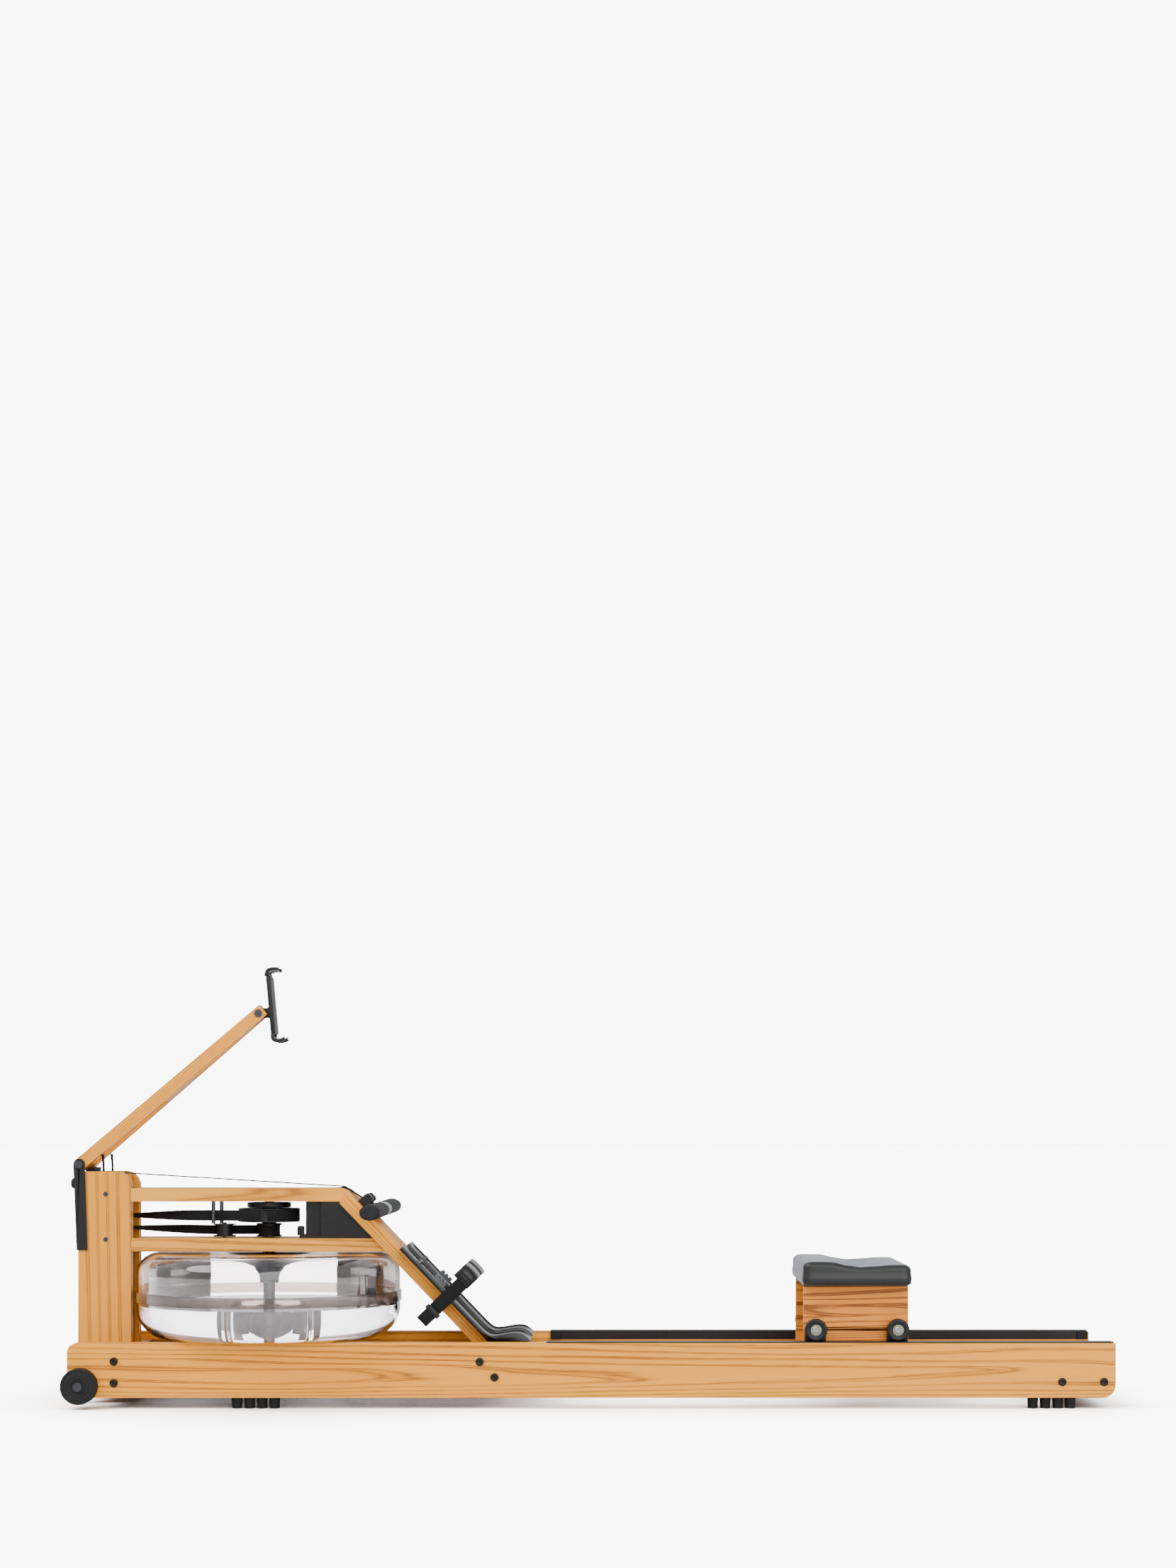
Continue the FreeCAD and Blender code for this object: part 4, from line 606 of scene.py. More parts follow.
def brick(low, high, frame_of, edge=0.001):
    """A rounded block between two corners, given in a local frame."""
    (x0, y0, z0), (x1, y1, z1) = low, high
    rings, bit = [], edge * 0.3
    for z, inset in ((z0, edge), (z0 + bit, bit), (z0 + edge, 0), (z1 - edge, 0), (z1 - bit, bit),
                     (z1, edge)):
        flat = eased([(x0 + inset, y0 + inset), (x1 - inset, y0 + inset), (x1 - inset, y1 - inset),
                      (x0 + inset, y1 - inset)], edge * 1.2, 3)
        rings.append([frame_of(x, y, z) for x, y in flat])
    return [v for ring in rings for v in ring], rings_to_faces(len(rings), len(rings[0]))


def carve(obj, verts, faces):
    """Take a closed form out of a piece."""
    tool = mesh_object("carver", verts, faces)
    change = obj.modifiers.new("carve", "BOOLEAN")
    change.object = tool
    change.solver = "EXACT"
    bpy.context.view_layer.update()
    result = bpy.data.meshes.new_from_object(obj.evaluated_get(bpy.context.evaluated_depsgraph_get()))
    obj.modifiers.clear()
    obj.data = result
    bpy.data.objects.remove(tool)
    result.set_sharp_from_angle(angle=math.radians(34))


# ---- places from the record and the CAD boxes

JOINTS = {j["name"]: j for j in frame["record"]["behaviour"]["joints"]}
SLOPE_AXIS = JOINTS["heel_rest_left_slide"]["axis"]
SLOPE = math.atan2(SLOPE_AXIS[2], -SLOPE_AXIS[0])
DOWN = Vector((math.cos(SLOPE), 0, -math.sin(SLOPE)))
OUT = Vector((math.sin(SLOPE), 0, math.cos(SLOPE)))
Y = Vector((0, 1, 0))
Z = Vector((0, 0, 1))
BOARD_THICK = 0.0275
board_low, board_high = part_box("footboard")
SLOPE_TOP = Vector((board_low[0] + BOARD_THICK * math.sin(SLOPE), 0, board_high[2]))


def joint_at(name):
    """Where a joint turns or slides, from the record."""
    return Vector(JOINTS[name]["pos_m"])


def middle(name):
    """The centre of a CAD node's box."""
    low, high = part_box(name)
    return [(a + b) / 2 for a, b in zip(low, high)]


def on_slope(u, y, w):
    """A point u down the footboard, y across and w out of its face."""
    return SLOPE_TOP + DOWN * u + Y * y + OUT * w


TILT_BOLT = joint_at("holder_tilt")
HOLD_U = Vector(JOINTS["holder_spin"]["axis"])
HOLD_W = Vector((-HOLD_U[2], 0, HOLD_U[0]))


def on_holder(u, y, w):
    """A point in the tablet holder's directions from the tilt bolt."""
    return TILT_BOLT + HOLD_U * u + Y * y + HOLD_W * w


# ---- bolts, wheels and axles

def socket_bolt(place, axis, head=0.0082, tall=0.005, hole=0.0036):
    """Points and faces of a round head with a dished rim, a hex socket and its shank."""
    place, axis = Vector(place), Vector(axis)
    outline = [(0.0, -0.06), (0.004, -0.06), (0.004, 0.0), (head, 0.0), (head, tall * 0.62),
               (head * 0.93, tall * 0.86), (head * 0.8, tall), (head * 0.66, tall),
               (head * 0.6, tall * 0.88), (hole * 1.08, tall * 0.84)]
    verts, faces = lathe_parts(outline, place, axis, 36)
    side = axis.orthogonal().normalized()
    other = axis.cross(side)
    six = [side * a + other * b for a, b in circle(36)]
    rings = []
    for depth, flat in ((tall * 0.84, 0.0), (tall * 0.8, 1.0), (tall * 0.12, 1.0)):
        ring = []
        for k, away in enumerate(six):
            swing = (k % 6) / 6 * TAU / 6 - TAU / 12
            hexagon = hole * math.cos(TAU / 12) / math.cos(swing)
            ring.append(place + axis * depth + away * (hexagon * flat + hole * 1.08 * (1 - flat)))
        rings.append(ring)
    flat = [v for ring in rings for v in ring]
    bore = rings_to_faces(3, 36, caps=False) + [tuple(72 + k for k in range(36))]
    return merged([(verts, open_ends(faces, len(outline))), (flat, bore)])


def open_ends(faces, size):
    """Drop the strip that would join an outline's last point to its first."""
    return [face for n, face in enumerate(faces) if n % size != size - 1]


def make_bolts():
    """The twelve socket bolts through the rails."""
    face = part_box("rail_right")[0][1]
    spots = [(-0.947, 0.0515), (-0.947, 0.0946), (0.9423, 0.0538), (1.0256, 0.0538)]
    for u in (0.4275, 0.47):
        spot = on_slope(u, 0, -0.0342)
        spots.append((spot.x, spot.z))
    parts = []
    for x, z in spots:
        parts.append(socket_bolt((x, face, z), (0, -1, 0)))
        parts.append(socket_bolt((x, -face, z), (0, 1, 0)))
    verts, faces = merged(parts)
    piece("rail_bolt_heads", verts, faces, "bolt_black", "frame", "steel", ["rail_bolts"])


def make_transport_wheels():
    """Black wheels with a stepped face and fine turned rings."""
    for side, sign in SIDES:
        low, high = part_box("transport_wheel_" + side)
        centre = (Vector(low) + Vector(high)) / 2
        half = (high[1] - low[1]) / 2
        radius = (high[2] - low[2]) / 2
        bore, step, hollow = 0.00505, 0.0004, half - 0.0016
        rim, dip = half - 0.0002, half - 0.0009
        face = [(bore, -half), (radius * 0.9, -half), (radius, -half, 0.003), (radius, half, 0.004),
                (radius * 0.88, half, 0.0008), (radius * 0.86, dip, step), (radius * 0.8, dip, step),
                (radius * 0.78, rim, step), (radius * 0.6, rim, step), (radius * 0.585, half - 0.001, 0.0003),
                (radius * 0.57, rim, step), (radius * 0.42, rim, 0.0006), (radius * 0.4, hollow, 0.0006),
                (radius * 0.22, hollow, 0.0006), (bore, hollow)]
        verts, faces = lathe_parts(eased(face, 0.0006, 4), centre, (0, sign, 0), 96)
        piece("roll_wheel_" + side, verts, faces, "tyre", "wheel_" + side, "rubber",
              ["transport_wheel_" + side])


def make_seat_wheels():
    """Seat wheels with a rounded tyre and a pale bearing, and axles with socket ends."""
    bore, seat_r = 0.00405, 0.01078
    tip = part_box("seat_axles")[1][1]
    rod = [(0.0, 0.0), (0.00398, 0.0), (0.00398, tip - 0.0027), (0.0066, tip - 0.0026),
           (0.0069, tip - 0.0008), (0.006, tip), (0.004, tip), (0.0036, tip - 0.0007),
           (0.0031, tip - 0.0017), (0.0, tip - 0.0018)]
    rods = []
    for end in ("front", "rear"):
        body = "seat_wheels_" + end
        low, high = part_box(body)
        radius = (high[2] - low[2]) / 2
        near, far = high[1] - 0.016, high[1]
        tyre = eased([(0.0108, near + 0.001), (radius - 0.002, near + 0.0002),
                      (radius, near + 0.001, 0.002), (radius, far - 0.001, 0.003),
                      (radius * 0.82, far, 0.0015), (radius * 0.62, far - 0.0008, 0.001),
                      (0.0108, far - 0.0012)], 0.0006, 4)
        hub = eased([(bore, near + 0.0012), (seat_r, near + 0.0012), (seat_r, far - 0.0007, 0.0005),
                     (0.0092, far - 0.0007, 0.0003), (0.0088, far - 0.0014, 0.0003),
                     (0.0074, far - 0.0014, 0.0003), (bore, far - 0.001)], 0.0003, 3)
        x, _, z = middle(body)
        tyres, hubs = [], []
        for sign in (1, -1):
            for parts, outline, steps in ((tyres, tyre, 72), (hubs, hub, 48), (rods, rod, 40)):
                parts.append(lathe_parts(outline, (x, 0, z), (0, sign, 0), steps))
        piece(f"seat_tyres_{end}", *merged(tyres), "wheel_black", body, "urethane", [body])
        piece(f"seat_bearings_{end}", *merged(hubs), "hub", body, "steel")
    piece("seat_axle_rods", *merged(rods), "steel", "seat", "steel", ["seat_axles"])


# ---- seat

def cushion_height(x, y, low, high):
    """Height of the pad's top: a front hump, a hollow, and a lower rear."""
    t = (x - low[0]) / (high[0] - low[0])
    knots = [(0.0, 0.0455), (0.1, 0.0478), (0.26, 0.0474), (0.42, 0.0405), (0.52, 0.0372), (0.66, 0.0388),
             (0.8, 0.0412), (0.92, 0.0414), (1.0, 0.04)]
    for (t0, h0), (t1, h1) in zip(knots, knots[1:]):
        if t <= t1 or t1 == 1.0:
            s = min(max((t - t0) / (t1 - t0), 0), 1)
            s = s * s * (3 - 2 * s)
            height = h0 + (h1 - h0) * s
            break
    across = abs(y) / high[1]
    hollow = 0.0028 * math.exp(-((across - 0.42) / 0.26) ** 2) * math.exp(-((t - 0.52) / 0.3) ** 2)
    return height - hollow


def make_cushion():
    """The moulded seat pad: rounded rectangle in plan, saddle-shaped on top."""
    low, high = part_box("seat_cushion")
    mid_x, half_x, half_y = (low[0] + high[0]) / 2, (high[0] - low[0]) / 2, high[1]
    side = 24
    wall, tall, wall_top = 0.014, 0.045, 0.55
    lean_in, top = 0.0016, 0.0105
    rings = [(0.03, 0.0, 0.0), (0.012, 0.0, 0.0), (0.0062, 0.0002, 0.0), (0.003, 0.0016, 0.0),
             (0.0012, 0.0042, 0.0), (0.0004, 0.0085, 0.0), (0.0, wall, 0.0)]
    for k in range(1, 5):
        rings.append((0.0004 * k, wall + (wall_top - wall / tall) * tall * k / 4, 0.0))
    for k in range(9):
        a = math.pi / 2 * k / 8
        rings.append((lean_in + top * (1 - math.cos(a)), None, top * (1 - math.sin(a))))
    inner = half_x - lean_in - top
    for k in range(1, 13):
        rings.append((lean_in + top + inner * k / 12, None, 0.0))
    verts = []
    for inset, rise, drop in rings:
        a, b = half_x - inset, half_y - inset
        corner = max(0.016 - inset * 0.6, 0.0015)
        for x, y in ring_points(a, b, min(corner, a * 0.98), side):
            world_x = mid_x + x
            if rise is None:
                z = low[2] + cushion_height(world_x, y, low, high) - drop
            else:
                z = low[2] + rise
            verts.append(Vector((world_x, y, z)))
    size = len(ring_points(1, 2, 0.1, side))
    faces = rings_to_faces(len(rings), size, caps=False) + [tuple(range(size))]
    pad = piece("seat_pad", verts, faces, "cushion", "seat", "cushion", ["seat_cushion"], 60)
    smooth = pad.modifiers.new("smooth", "SUBSURF")
    smooth.levels = 1
    smooth.render_levels = 1


def ring_points(a, b, corner, side):
    """A rounded rectangle with the same number of points whatever its size."""
    points = []
    x, y = a - corner, b - corner
    for cx, cy, start in ((x, y, 0), (-x, y, 90), (-x, -y, 180), (x, -y, 270)):
        for k in range(7):
            angle = math.radians(start + 90 * k / 6)
            points.append((cx + corner * math.cos(angle), cy + corner * math.sin(angle)))
    full = []
    for i, point in enumerate(points):
        following = points[(i + 1) % len(points)]
        full.append(point)
        if i % 7 == 6:
            for k in range(1, side):
                t = k / side
                full.append((point[0] * (1 - t) + following[0] * t, point[1] * (1 - t) + following[1] * t))
    return full


# ---- handle and straps

OVAL_STEPS = 56
STRAP_THICK, STRAP_LIFT = 0.002, 0.0003
PULL_HALF, RETURN_HALF = 0.011, 0.0095
ROLLER_R, RETURN_PULLEY_R, RETURN_DRUM_R = 0.011, 0.022, 0.02


def oval(centre, major, minor, y):
    """A ring of points round the handle at one place along it."""
    return [Vector((centre[0] + major * a, y, centre[2] + minor * b)) for a, b in circle(OVAL_STEPS)]


def make_handle():
    """Two foam grips with softly rounded ends, and the pale sleeve between them."""
    low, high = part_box("handle_grips")
    centre = middle("handle_grips")
    major, minor, end = (high[0] - low[0]) / 2, (high[2] - low[2]) / 2, high[1]
    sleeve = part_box("handle_core")[1][1]
    for side, sign in SIDES:
        shape = [(sleeve + 0.0004, -0.004), (sleeve + 0.0008, -0.0012), (sleeve + 0.003, -0.0001)]
        shape += [(sleeve + 0.003 + (end - 0.009 - sleeve) * k / 14, 0.0) for k in range(1, 14)]
        shape += [(end - 0.006 + 0.006 * math.sin(a), -0.006 * (1 - math.cos(a)))
                  for a in (math.pi / 2 * k / 6 for k in range(7))]
        shape += [(end + 0.0004, -0.009), (end + 0.0006, -0.013)]
        verts = []
        for y, inset in shape:
            verts += oval(centre, major + inset, minor + inset, sign * min(y, end))
        piece(f"grip_{side}", verts, rings_to_faces(len(shape), OVAL_STEPS), "foam", "handle", "foam",
              ["handle_grips"] if side == "left" else (), 50)
    verts = []
    shape = [(-sleeve, -0.004), (-sleeve, -0.0012), (-sleeve + 0.001, -0.0008), (0, -0.0006),
             (sleeve - 0.001, -0.0008), (sleeve, -0.0012), (sleeve, -0.004)]
    for y, inset in shape:
        verts += oval(centre, major + inset, minor + inset, y)
    piece("handle_sleeve", verts, rings_to_faces(len(shape), OVAL_STEPS), "sleeve", "handle", "sleeve",
          ["handle_core"])


def lean(angle):
    """The direction leaning this far from upright towards the seat."""
    return Vector((math.sin(angle), 0, math.cos(angle)))


def tangent(centre_a, radius_a, centre_b, radius_b):
    """How far the radius to a strap's touching point leans, for a run over two pulleys."""
    gap = centre_b - centre_a
    return math.asin((radius_a - radius_b) / gap.length) - math.atan2(gap.z, gap.x)


def arc(centre, radius, start, sweep, steps):
    """Points round a pulley."""
    return [centre + lean(start + sweep * k / steps) * radius for k in range(steps + 1)]


def drum_path(side, axis, drum, pulley_x, z_flat, z_drum):
    """The run that turns up on edge from a pulley and wraps a drum: points and width directions."""
    turn_from, turn_to, wrap = -0.972, -0.775, 345
    pulley = Vector((pulley_x, 0, z_drum))
    axis = Vector((axis[0], axis[1], z_drum))
    span = (axis - pulley).length
    angle = math.asin(drum / span)
    ahead = Vector((math.cos(angle), side * math.sin(angle), 0))
    touch = pulley + ahead * span * math.cos(angle)
    turned = pulley + ahead * ((turn_to - pulley.x) / ahead.x)
    flat = Vector((turn_from, 0, z_flat))
    path, sides = [], []
    for k in range(29):
        t = k / 28
        path.append(flat.lerp(turned, t))
        sides.append(Y * math.cos(t * math.pi / 2) + Z * math.sin(t * math.pi / 2))
    for k in range(1, 8):
        path.append(turned.lerp(touch, k / 8))
        sides.append(Z)
    start = (touch - axis).normalized()
    turn = 1 if ahead.cross(start).z < 0 else -1
    for k in range(61):
        swing = Matrix.Rotation(-turn * math.radians(wrap) * k / 60, 3, "Z")
        path.append(axis + swing @ start * drum)
        sides.append(Z)
    return path, sides


def make_drive_strap():
    """One unbroken strap from the corner roller over the front pulley to its drum."""
    flange, drum_flange = 0.0028, 0.0025
    pulley = joint_at("front_pulley_spin")
    roller = joint_at("corner_roller_spin")
    low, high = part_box("front_pulley")
    inside = (high[2] - low[2]) / 2 - flange + STRAP_LIFT
    low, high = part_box("corner_roller")
    small = (high[2] - low[2]) / 2 + STRAP_LIFT
    mid, small_mid = inside + STRAP_THICK / 2, small + STRAP_THICK / 2
    over = tangent(pulley, mid, roller, small_mid)
    down = tangent(roller, small_mid, Vector(middle("handle_grips")), 0)
    path = arc(roller, small_mid, down, over - down, 8)
    path += [path[-1].lerp(pulley + lean(over) * mid, k / 10) for k in range(1, 10)]
    path += arc(pulley, mid, over, -(math.pi + over), 40)
    sides = [Y] * len(path)
    low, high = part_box("drive_spool")
    drum = (high[0] - low[0]) / 2 - drum_flange + STRAP_LIFT + STRAP_THICK / 2
    more, more_sides = drum_path(-1, joint_at("spool_spin"), drum, pulley.x, pulley.z - mid, 0.3814)
    strap = ribbon(path + more, sides + more_sides, slab(PULL_HALF, STRAP_THICK))
    piece("pull_strap", *strap, "web", "frame", "webbing", ["drive_strap"], 60)


def make_recoil_strap():
    """The return strap from its anchor over the lower pulley to the small drum."""
    pulley = joint_at("recoil_pulley_spin")
    mid = RETURN_PULLEY_R + STRAP_LIFT + STRAP_THICK / 2
    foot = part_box("front_spacers")[1][2]
    path = [Vector((pulley.x - mid, 0, foot + (pulley.z - foot) * k / 10)) for k in range(10)]
    path += arc(pulley, mid, -math.pi / 2, math.pi / 2, 16)
    drum = RETURN_DRUM_R + STRAP_LIFT + STRAP_THICK / 2
    more, more_sides = drum_path(1, joint_at("spool_spin"), drum, pulley.x, pulley.z + mid, 0.35)
    sides = [-Y] * len(path) + [-side for side in more_sides]
    strap = ribbon(path + more, sides, slab(RETURN_HALF, STRAP_THICK))
    piece("return_strap", *strap, "web", "frame", "webbing", ["recoil_strap"], 60)


def make_strap_tail():
    """The strap's last run, doubled and stitched where it is sewn round the handle."""
    sewn, step = 0.016, 0.013
    handle = Vector(middle("handle_grips"))
    roller = joint_at("corner_roller_spin")
    rise = ROLLER_R + STRAP_LIFT + STRAP_THICK / 2
    angle = tangent(roller, rise, handle, 0)
    start = roller + lean(angle) * rise
    ahead = lean(angle + math.pi / 2)
    up = lean(angle)
    end = handle - ahead * 0.0185
    length = (end - start).length
    stations = []
    for k in range(41):
        place = 0.0005 + (length - 0.0005) * k / 40
        thick = STRAP_THICK if place < length - sewn else 0.0038 if place < length - step else 0.0056
        stations.append((start + ahead * place, Y, up * thick))
    flat = [(-PULL_HALF, -0.5), (PULL_HALF, -0.5), (PULL_HALF, 0.5), (-PULL_HALF, 0.5)]
    tail = piece("strap_tail_sewn", *swept(stations, flat), "web", None, "webbing", ["strap_tail"], 50)
    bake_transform(tail)
    parts = []
    for row in (-0.0085, -0.0045, 0.0045, 0.0085):
        for k in range(3):
            place = end - ahead * (0.003 + 0.0034 * k) + Y * row + up * 0.0029
            parts.append(brick((-0.0011, -0.0003, 0), (0.0011, 0.0003, 0.0003),
                               lambda x, y, z, p=place: p + ahead * x + Y * y + up * z, 0.00012))
    piece("strap_stitches", *merged(parts), "thread", "handle", "webbing")


def bell(t, centre, width):
    """A smooth bump of height one."""
    return math.exp(-((t - centre) / width) ** 2)


def make_stays():
    """Two short cords from the uprights to the arm, flared where they meet it."""
    low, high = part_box("stay_cords")
    x = (low[0] + high[0]) / 2
    ring = circle(16)
    for side, sign in SIDES:
        y = sign * (high[1] - 0.0025)
        stations = []
        for k in range(25):
            t = k / 24
            z = low[2] + (high[2] - low[2]) * t
            bow = 0.0016 * math.sin(math.pi * t)
            flare, knot = 0.0011 * max(0, (t - 0.78) / 0.22) ** 2, 0.0006 * bell(t, 0.45, 0.04)
            radius = 0.0023 + flare + knot
            stations.append((Vector((x + bow, y, z)), Vector((radius, 0, 0)), Vector((0, radius, 0))))
        cord = piece(f"stay_{side}", *swept(stations, ring), "web", None, "webbing",
                     ["stay_cords"] if side == "left" else (), 50)
        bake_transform(cord)


# ---- foot plates and straps

def make_foot_straps():
    """Webbing over each foot with a moulded ribbed pad on top, a buckle and a folded tail below."""
    u_mid = 0.29
    inner, outer, top, bend = 0.0207, 0.1228, 0.0728, 0.035
    for side, sign in SIDES:
        over = eased([(0.052, -0.0288), (outer, -0.0288, 0.004), (outer, top, bend), (inner, top, bend),
                      (inner, 0.0006)], 0.004, 10, closed=False)
        fold = eased([(outer + 0.0002, -0.0292), (outer + 0.0002, -0.067, 0.0022),
                      (outer - 0.0052, -0.067, 0.0022), (outer - 0.0052, -0.0335)], 0.002, 5, closed=False)
        webs = []
        for line, step, half in ((over, 0.004, 0.014), (fold, 0.003, 0.0135)):
            line = dense([Vector((0, y, w)) for y, w in line], step)
            world = [on_slope(u_mid, sign * p.y, p.z) for p in line]
            webs.append(ribbon(world, [DOWN] * len(world), slab(half, 0.0024)))
        buckle = brick((u_mid - 0.0172, outer - 0.0072, -0.042), (u_mid + 0.0172, outer + 0.0032, -0.0316),
                       lambda u, y, w, s=sign: on_slope(u, s * y, w), 0.0016)
        piece(f"foot_webbing_{side}", *merged(webs), "web_slope", "frame", "webbing",
              ["foot_straps"] if side == "left" else (), 60)
        piece(f"foot_buckle_{side}", *buckle, "black", "frame", "black_plastic")
        cap = eased([(outer, 0.044), (outer, top, bend), (inner, top, bend), (inner, 0.044)], 0.004, 14,
                    closed=False)
        cap = dense([Vector((0, y, w)) for y, w in cap], 0.0022)
        stations = []
        for k, p in enumerate(cap):
            t = k / (len(cap) - 1)
            ahead = heading(cap, k)
            normal = Vector((0, ahead.z, -ahead.y))
            lift = math.sin(math.pi * t) ** 0.35 if 0 < t < 1 else 0.0
            ridge = 1.0 + 0.22 * sum(bell(t, centre, 0.012) for centre in (0.07, 0.12, 0.93, 0.88))
            size = (0.25 + 0.75 * lift) * ridge
            up = (OUT * normal.z + Y * sign * normal.y) * size
            stations.append((on_slope(u_mid - 0.004, sign * p.y, p.z), DOWN, up))
        half = 0.0195
        rise = [(half, 0.0013), (half - 0.0006, 0.003), (half - 0.0035, 0.0044), (half * 0.5, 0.0058)]
        crown = [(-a, b) for a, b in rise] + [(0.0, 0.0062)] + rise[::-1]
        piece(f"foot_pad_{side}", *swept(stations, crown), "pad_black", "frame", "webbing", (), 60)


def dense(points, step):
    """The same line with extra points, none further apart than a step."""
    line = [points[0]]
    for a, b in zip(points, points[1:]):
        count = max(1, math.ceil((b - a).length / step))
        line += [a.lerp(b, k / count) for k in range(1, count + 1)]
    return line


def make_heel_rests():
    """Foot plates with raised rims, a smooth heel cup and rows of size slots."""
    heel = curve([(0.4106, 0.0003, 0), (0.43, 0.0206, 0), (0.45, 0.0415, 0), (0.4658, 0.058, 0),
                  (0.4684, 0.0618, 0)], 5)
    bottom = [(0.154 + 0.2566 * k / 24, 0.0003) for k in range(24)] + [(p[0], p[1]) for p in heel]
    top_points = [(0.154, 0.009), (0.22, 0.009), (0.3, 0.009), (0.365, 0.009), (0.392, 0.0096),
                  (0.4055, 0.0135), (0.414, 0.0222), (0.4215, 0.033), (0.429, 0.044),
                  (0.4365, 0.0535), (0.4445, 0.0598), (0.455, 0.0632), (0.464, 0.064),
                  (0.469, 0.063)]
    top = curve([(u, w, 0) for u, w in top_points], 6)
    size = 72
    bottom, top = resampled(bottom, size), resampled([(p[0], p[1]) for p in top], size)
    inner, outer = 0.025, 0.118
    rim = [(0.0, 0.0014, 0.0), (0.0004, 0.0005, 0.0), (0.0014, 0.0, 0.0), (0.0046, 0.0, 0.0),
           (0.0056, 0.0, 0.0004), (0.0066, 0.0, 0.0022), (0.0078, 0.0, 0.003), (0.0105, 0.0, 0.0033)]
    stations = [(inner + y, e, d) for y, e, d in rim] + [((inner + outer) / 2, 0.0, 0.0033)]
    stations += [(inner + outer - y, e, d) for y, e, d in reversed(stations[:-1])]
    for side, sign in SIDES:
        verts, body = [], f"heel_rest_{side}"
        for y, ease, dish in stations:
            verts += [on_slope(u, sign * y, w + ease) for u, w in bottom]
            for k in range(size - 1, -1, -1):
                u, w = top[k]
                fade = min(1.0, k / 3, (size - 1 - k) / 5)
                normal = outline_normal(top, k)
                sunk = dish * fade + ease
                verts.append(on_slope(u - normal[0] * sunk, sign * y, w - normal[1] * sunk))
        plate = piece(f"foot_plate_{side}", verts, rings_to_faces(len(stations), 2 * size), "gloss_black",
                      body, "black_plastic", [body], 40)
        hole = brick((0.1945, 0.066, -0.003), (0.2405, 0.077, 0.014),
                     lambda u, y, w, s=sign: on_slope(u, s * y, w), 0.0005)
        carve(plate, *hole)
        marks = []
        for column in (-0.0235, 0.0235):
            y = 0.0715 + column
            for row in range(9):
                u = 0.166 + 0.0088 * row
                marks.append(brick((u, y - 0.0062, 0.0056), (u + 0.0042, y + 0.0062, 0.0064),
                                   lambda a, b, c, s=sign: on_slope(a, s * b, c), 0.0003))
        piece(f"plate_slots_{side}", *merged(marks), "pale_grey", body, "grey_plastic")


def resampled(points, count):
    """The same line with evenly spaced points."""
    points = [Vector((p[0], p[1], 0)) for p in points]
    reach = [0.0]
    for a, b in zip(points, points[1:]):
        reach.append(reach[-1] + (b - a).length)
    result, i = [], 0
    for k in range(count):
        goal = reach[-1] * k / (count - 1)
        while i < len(points) - 2 and reach[i + 1] < goal:
            i += 1
        t = (goal - reach[i]) / max(reach[i + 1] - reach[i], 1e-9)
        spot = points[i].lerp(points[i + 1], min(max(t, 0), 1))
        result.append((spot.x, spot.y))
    return result


def outline_normal(points, k):
    """The outward direction of an outline at one point, up being out."""
    a, b = points[max(k - 1, 0)], points[min(k + 1, len(points) - 1)]
    du, dw = b[0] - a[0], b[1] - a[1]
    length = max(math.hypot(du, dw), 1e-9)
    return (-dw / length, du / length)


# ---- tablet holder

def hook(points, half, y_mid, thick):
    """One bent finger of a jaw."""
    line = [on_holder(p[0], y_mid, p[1]) for p in curve([(u, w, 0) for u, w in points], 6)]
    return ribbon(line, [Y] * len(line), slab(half, thick, 0.0022))


def lined(path, way):
    """A jaw's soft lining, just inside its hook; way is 1 for the lower jaw, -1 for the upper."""
    bend = [(u + 0.0036, w + way * 0.0036) for u, w in path[2:4]]
    return bend + [(u, w + way * 0.0039) for u, w in path[4:]]


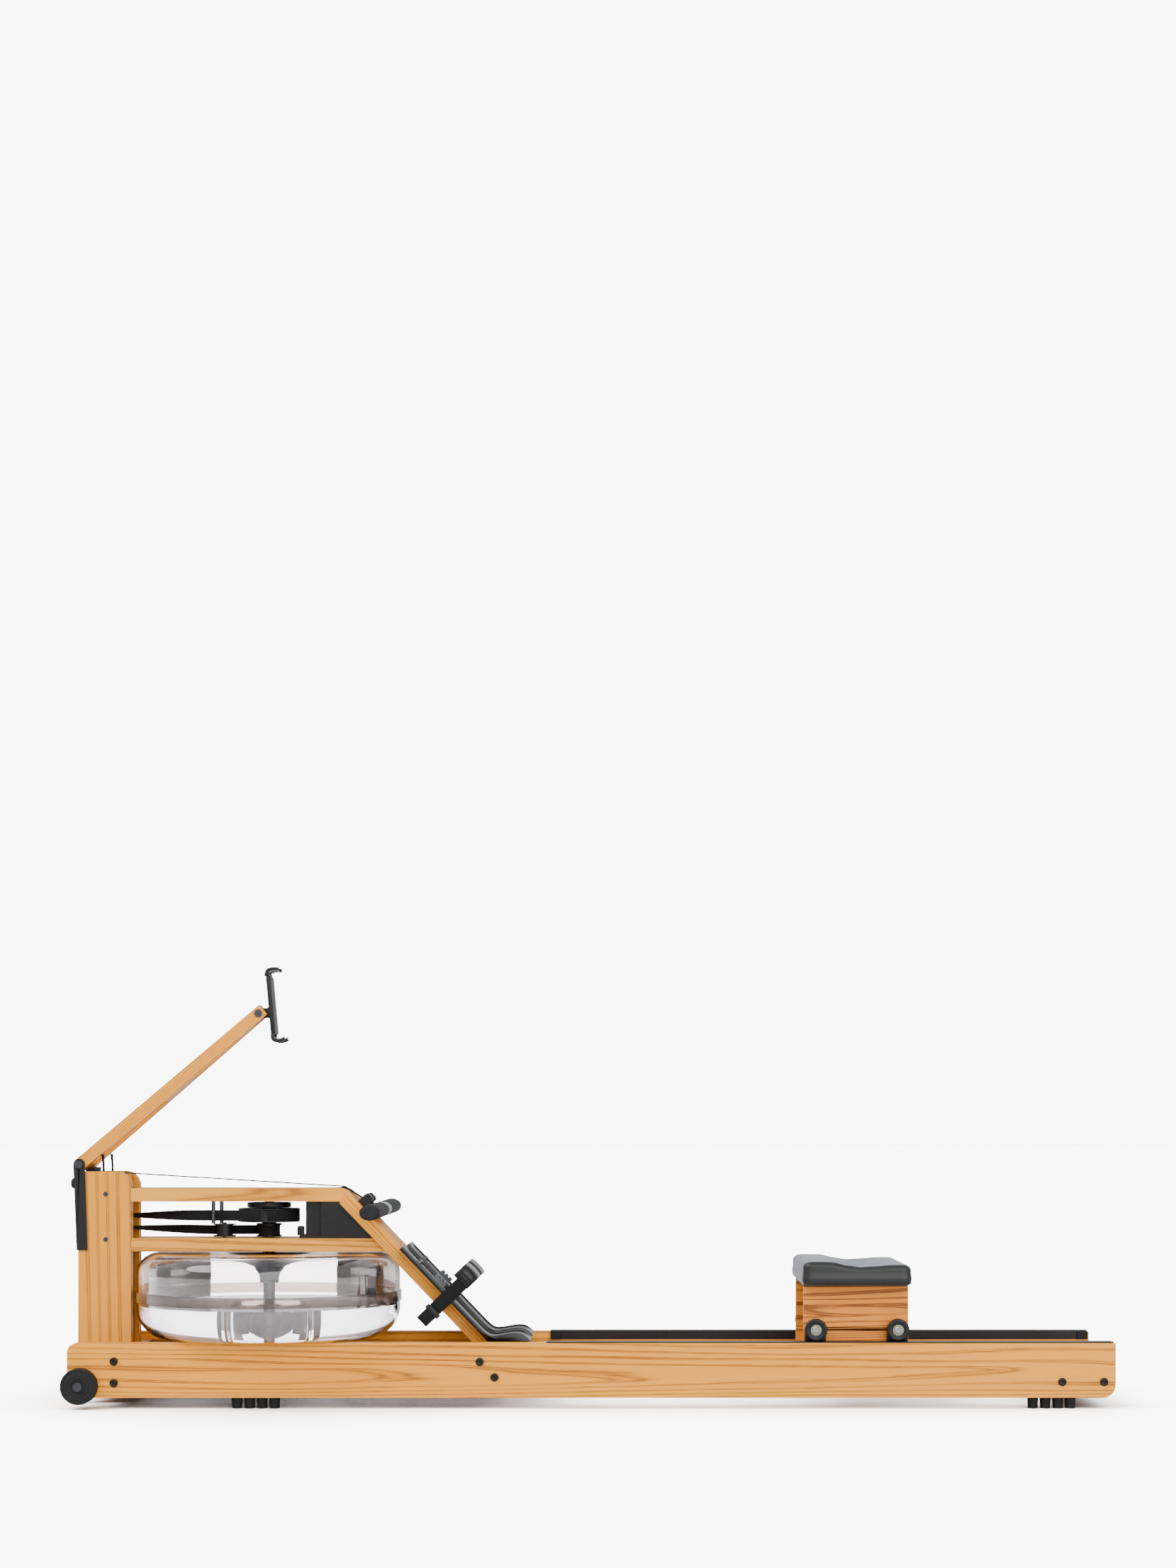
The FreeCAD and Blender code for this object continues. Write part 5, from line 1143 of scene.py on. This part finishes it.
def make_holder():
    """The clamp's bar with its lower hooks, and the sliding upper hooks, lined inside."""
    low_path = [(0.0262, -0.042), (0.025, -0.05), (0.0262, -0.056), (0.031, -0.0594), (0.038, -0.06),
                (0.0455, -0.0588), (0.05, -0.0562)]
    high_path = [(0.025, 0.0765), (0.0248, 0.0808), (0.0268, 0.085), (0.0315, 0.0872), (0.038, 0.0878),
                 (0.045, 0.0872), (0.05, 0.0862)]
    bar = brick((0.0228, -0.03, -0.0446), (0.0318, 0.03, 0.0737), on_holder, 0.0022)
    jaws, linings = [], []
    upper = [brick((0.02, -0.03, 0.0741), (0.0292, 0.03, 0.0805), on_holder, 0.0018),
             brick((0.026, -0.0147, 0.018), (0.0286, 0.0147, 0.076), on_holder, 0.0004)]
    upper_lining = []
    for y_mid in (-0.0235, 0.0235):
        jaws.append(hook(low_path, 0.0062, y_mid, 0.0062))
        upper.append(hook(high_path, 0.0062, y_mid, 0.0062))
        linings.append(hook(lined(low_path, 1), 0.0054, y_mid, 0.0014))
        upper_lining.append(hook(lined(high_path, -1), 0.0054, y_mid, 0.0014))
    obj = piece("clamp_bar", *bar, "black_paint", "holder_bar", "black_metal", ["holder_bar"])
    carve(obj, *brick((0.0258, -0.015, 0.014), (0.0288, 0.015, 0.08), on_holder, 0.0003))
    piece("clamp_lower_jaw", *merged(jaws), "black_paint", "holder_bar", "black_metal")
    piece("clamp_lower_lining", *merged(linings), "pale_grey", "holder_bar", "rubber")
    piece("clamp_upper_jaw", *merged(upper), "black_paint", "upper_jaw", "black_metal", ["upper_jaw"])
    piece("clamp_upper_lining", *merged(upper_lining), "pale_grey", "upper_jaw", "rubber")


# ---- cards seen only through the tank

def make_cards():
    """Two dark studio cards behind the tank, which only its clear walls and water pick up."""
    x_mid = middle("tank_lower_shell")[0]
    s = Shader("card")
    s.tree.nodes.remove(s.bsdf)
    glow = s.add("Emission", Strength=1.0)
    streak = s.noise(s.coords((60, 1, 1.2)), 1.0, 3.0, 0.6)
    s.wire(s.ramp(streak, [(0.3, grey(0.035)), (0.7, grey(0.11))]), glow.inputs["Color"])
    s.wire(glow.outputs[0], s.tree.nodes["Material Output"].inputs[0])
    y, z0, z1 = 0.38, 0.12, 0.36
    for side, x0, x1 in (("left", x_mid - 0.52, x_mid - 0.184), ("right", x_mid + 0.098, x_mid + 0.52)):
        corners = [(x0, y, z0), (x1, y, z0), (x1, y, z1), (x0, y, z1)]
        card = mesh_object("card_" + side, corners, [(0, 1, 2, 3)])
        card.data.materials.append(s.mat)
        hide_from(card, "camera", "diffuse", "glossy", "shadow")


make_bolts()
make_transport_wheels()
make_seat_wheels()
make_cushion()
make_handle()
make_drive_strap()
make_recoil_strap()
make_strap_tail()
make_stays()
make_foot_straps()
make_heel_rests()
make_holder()
make_cards()
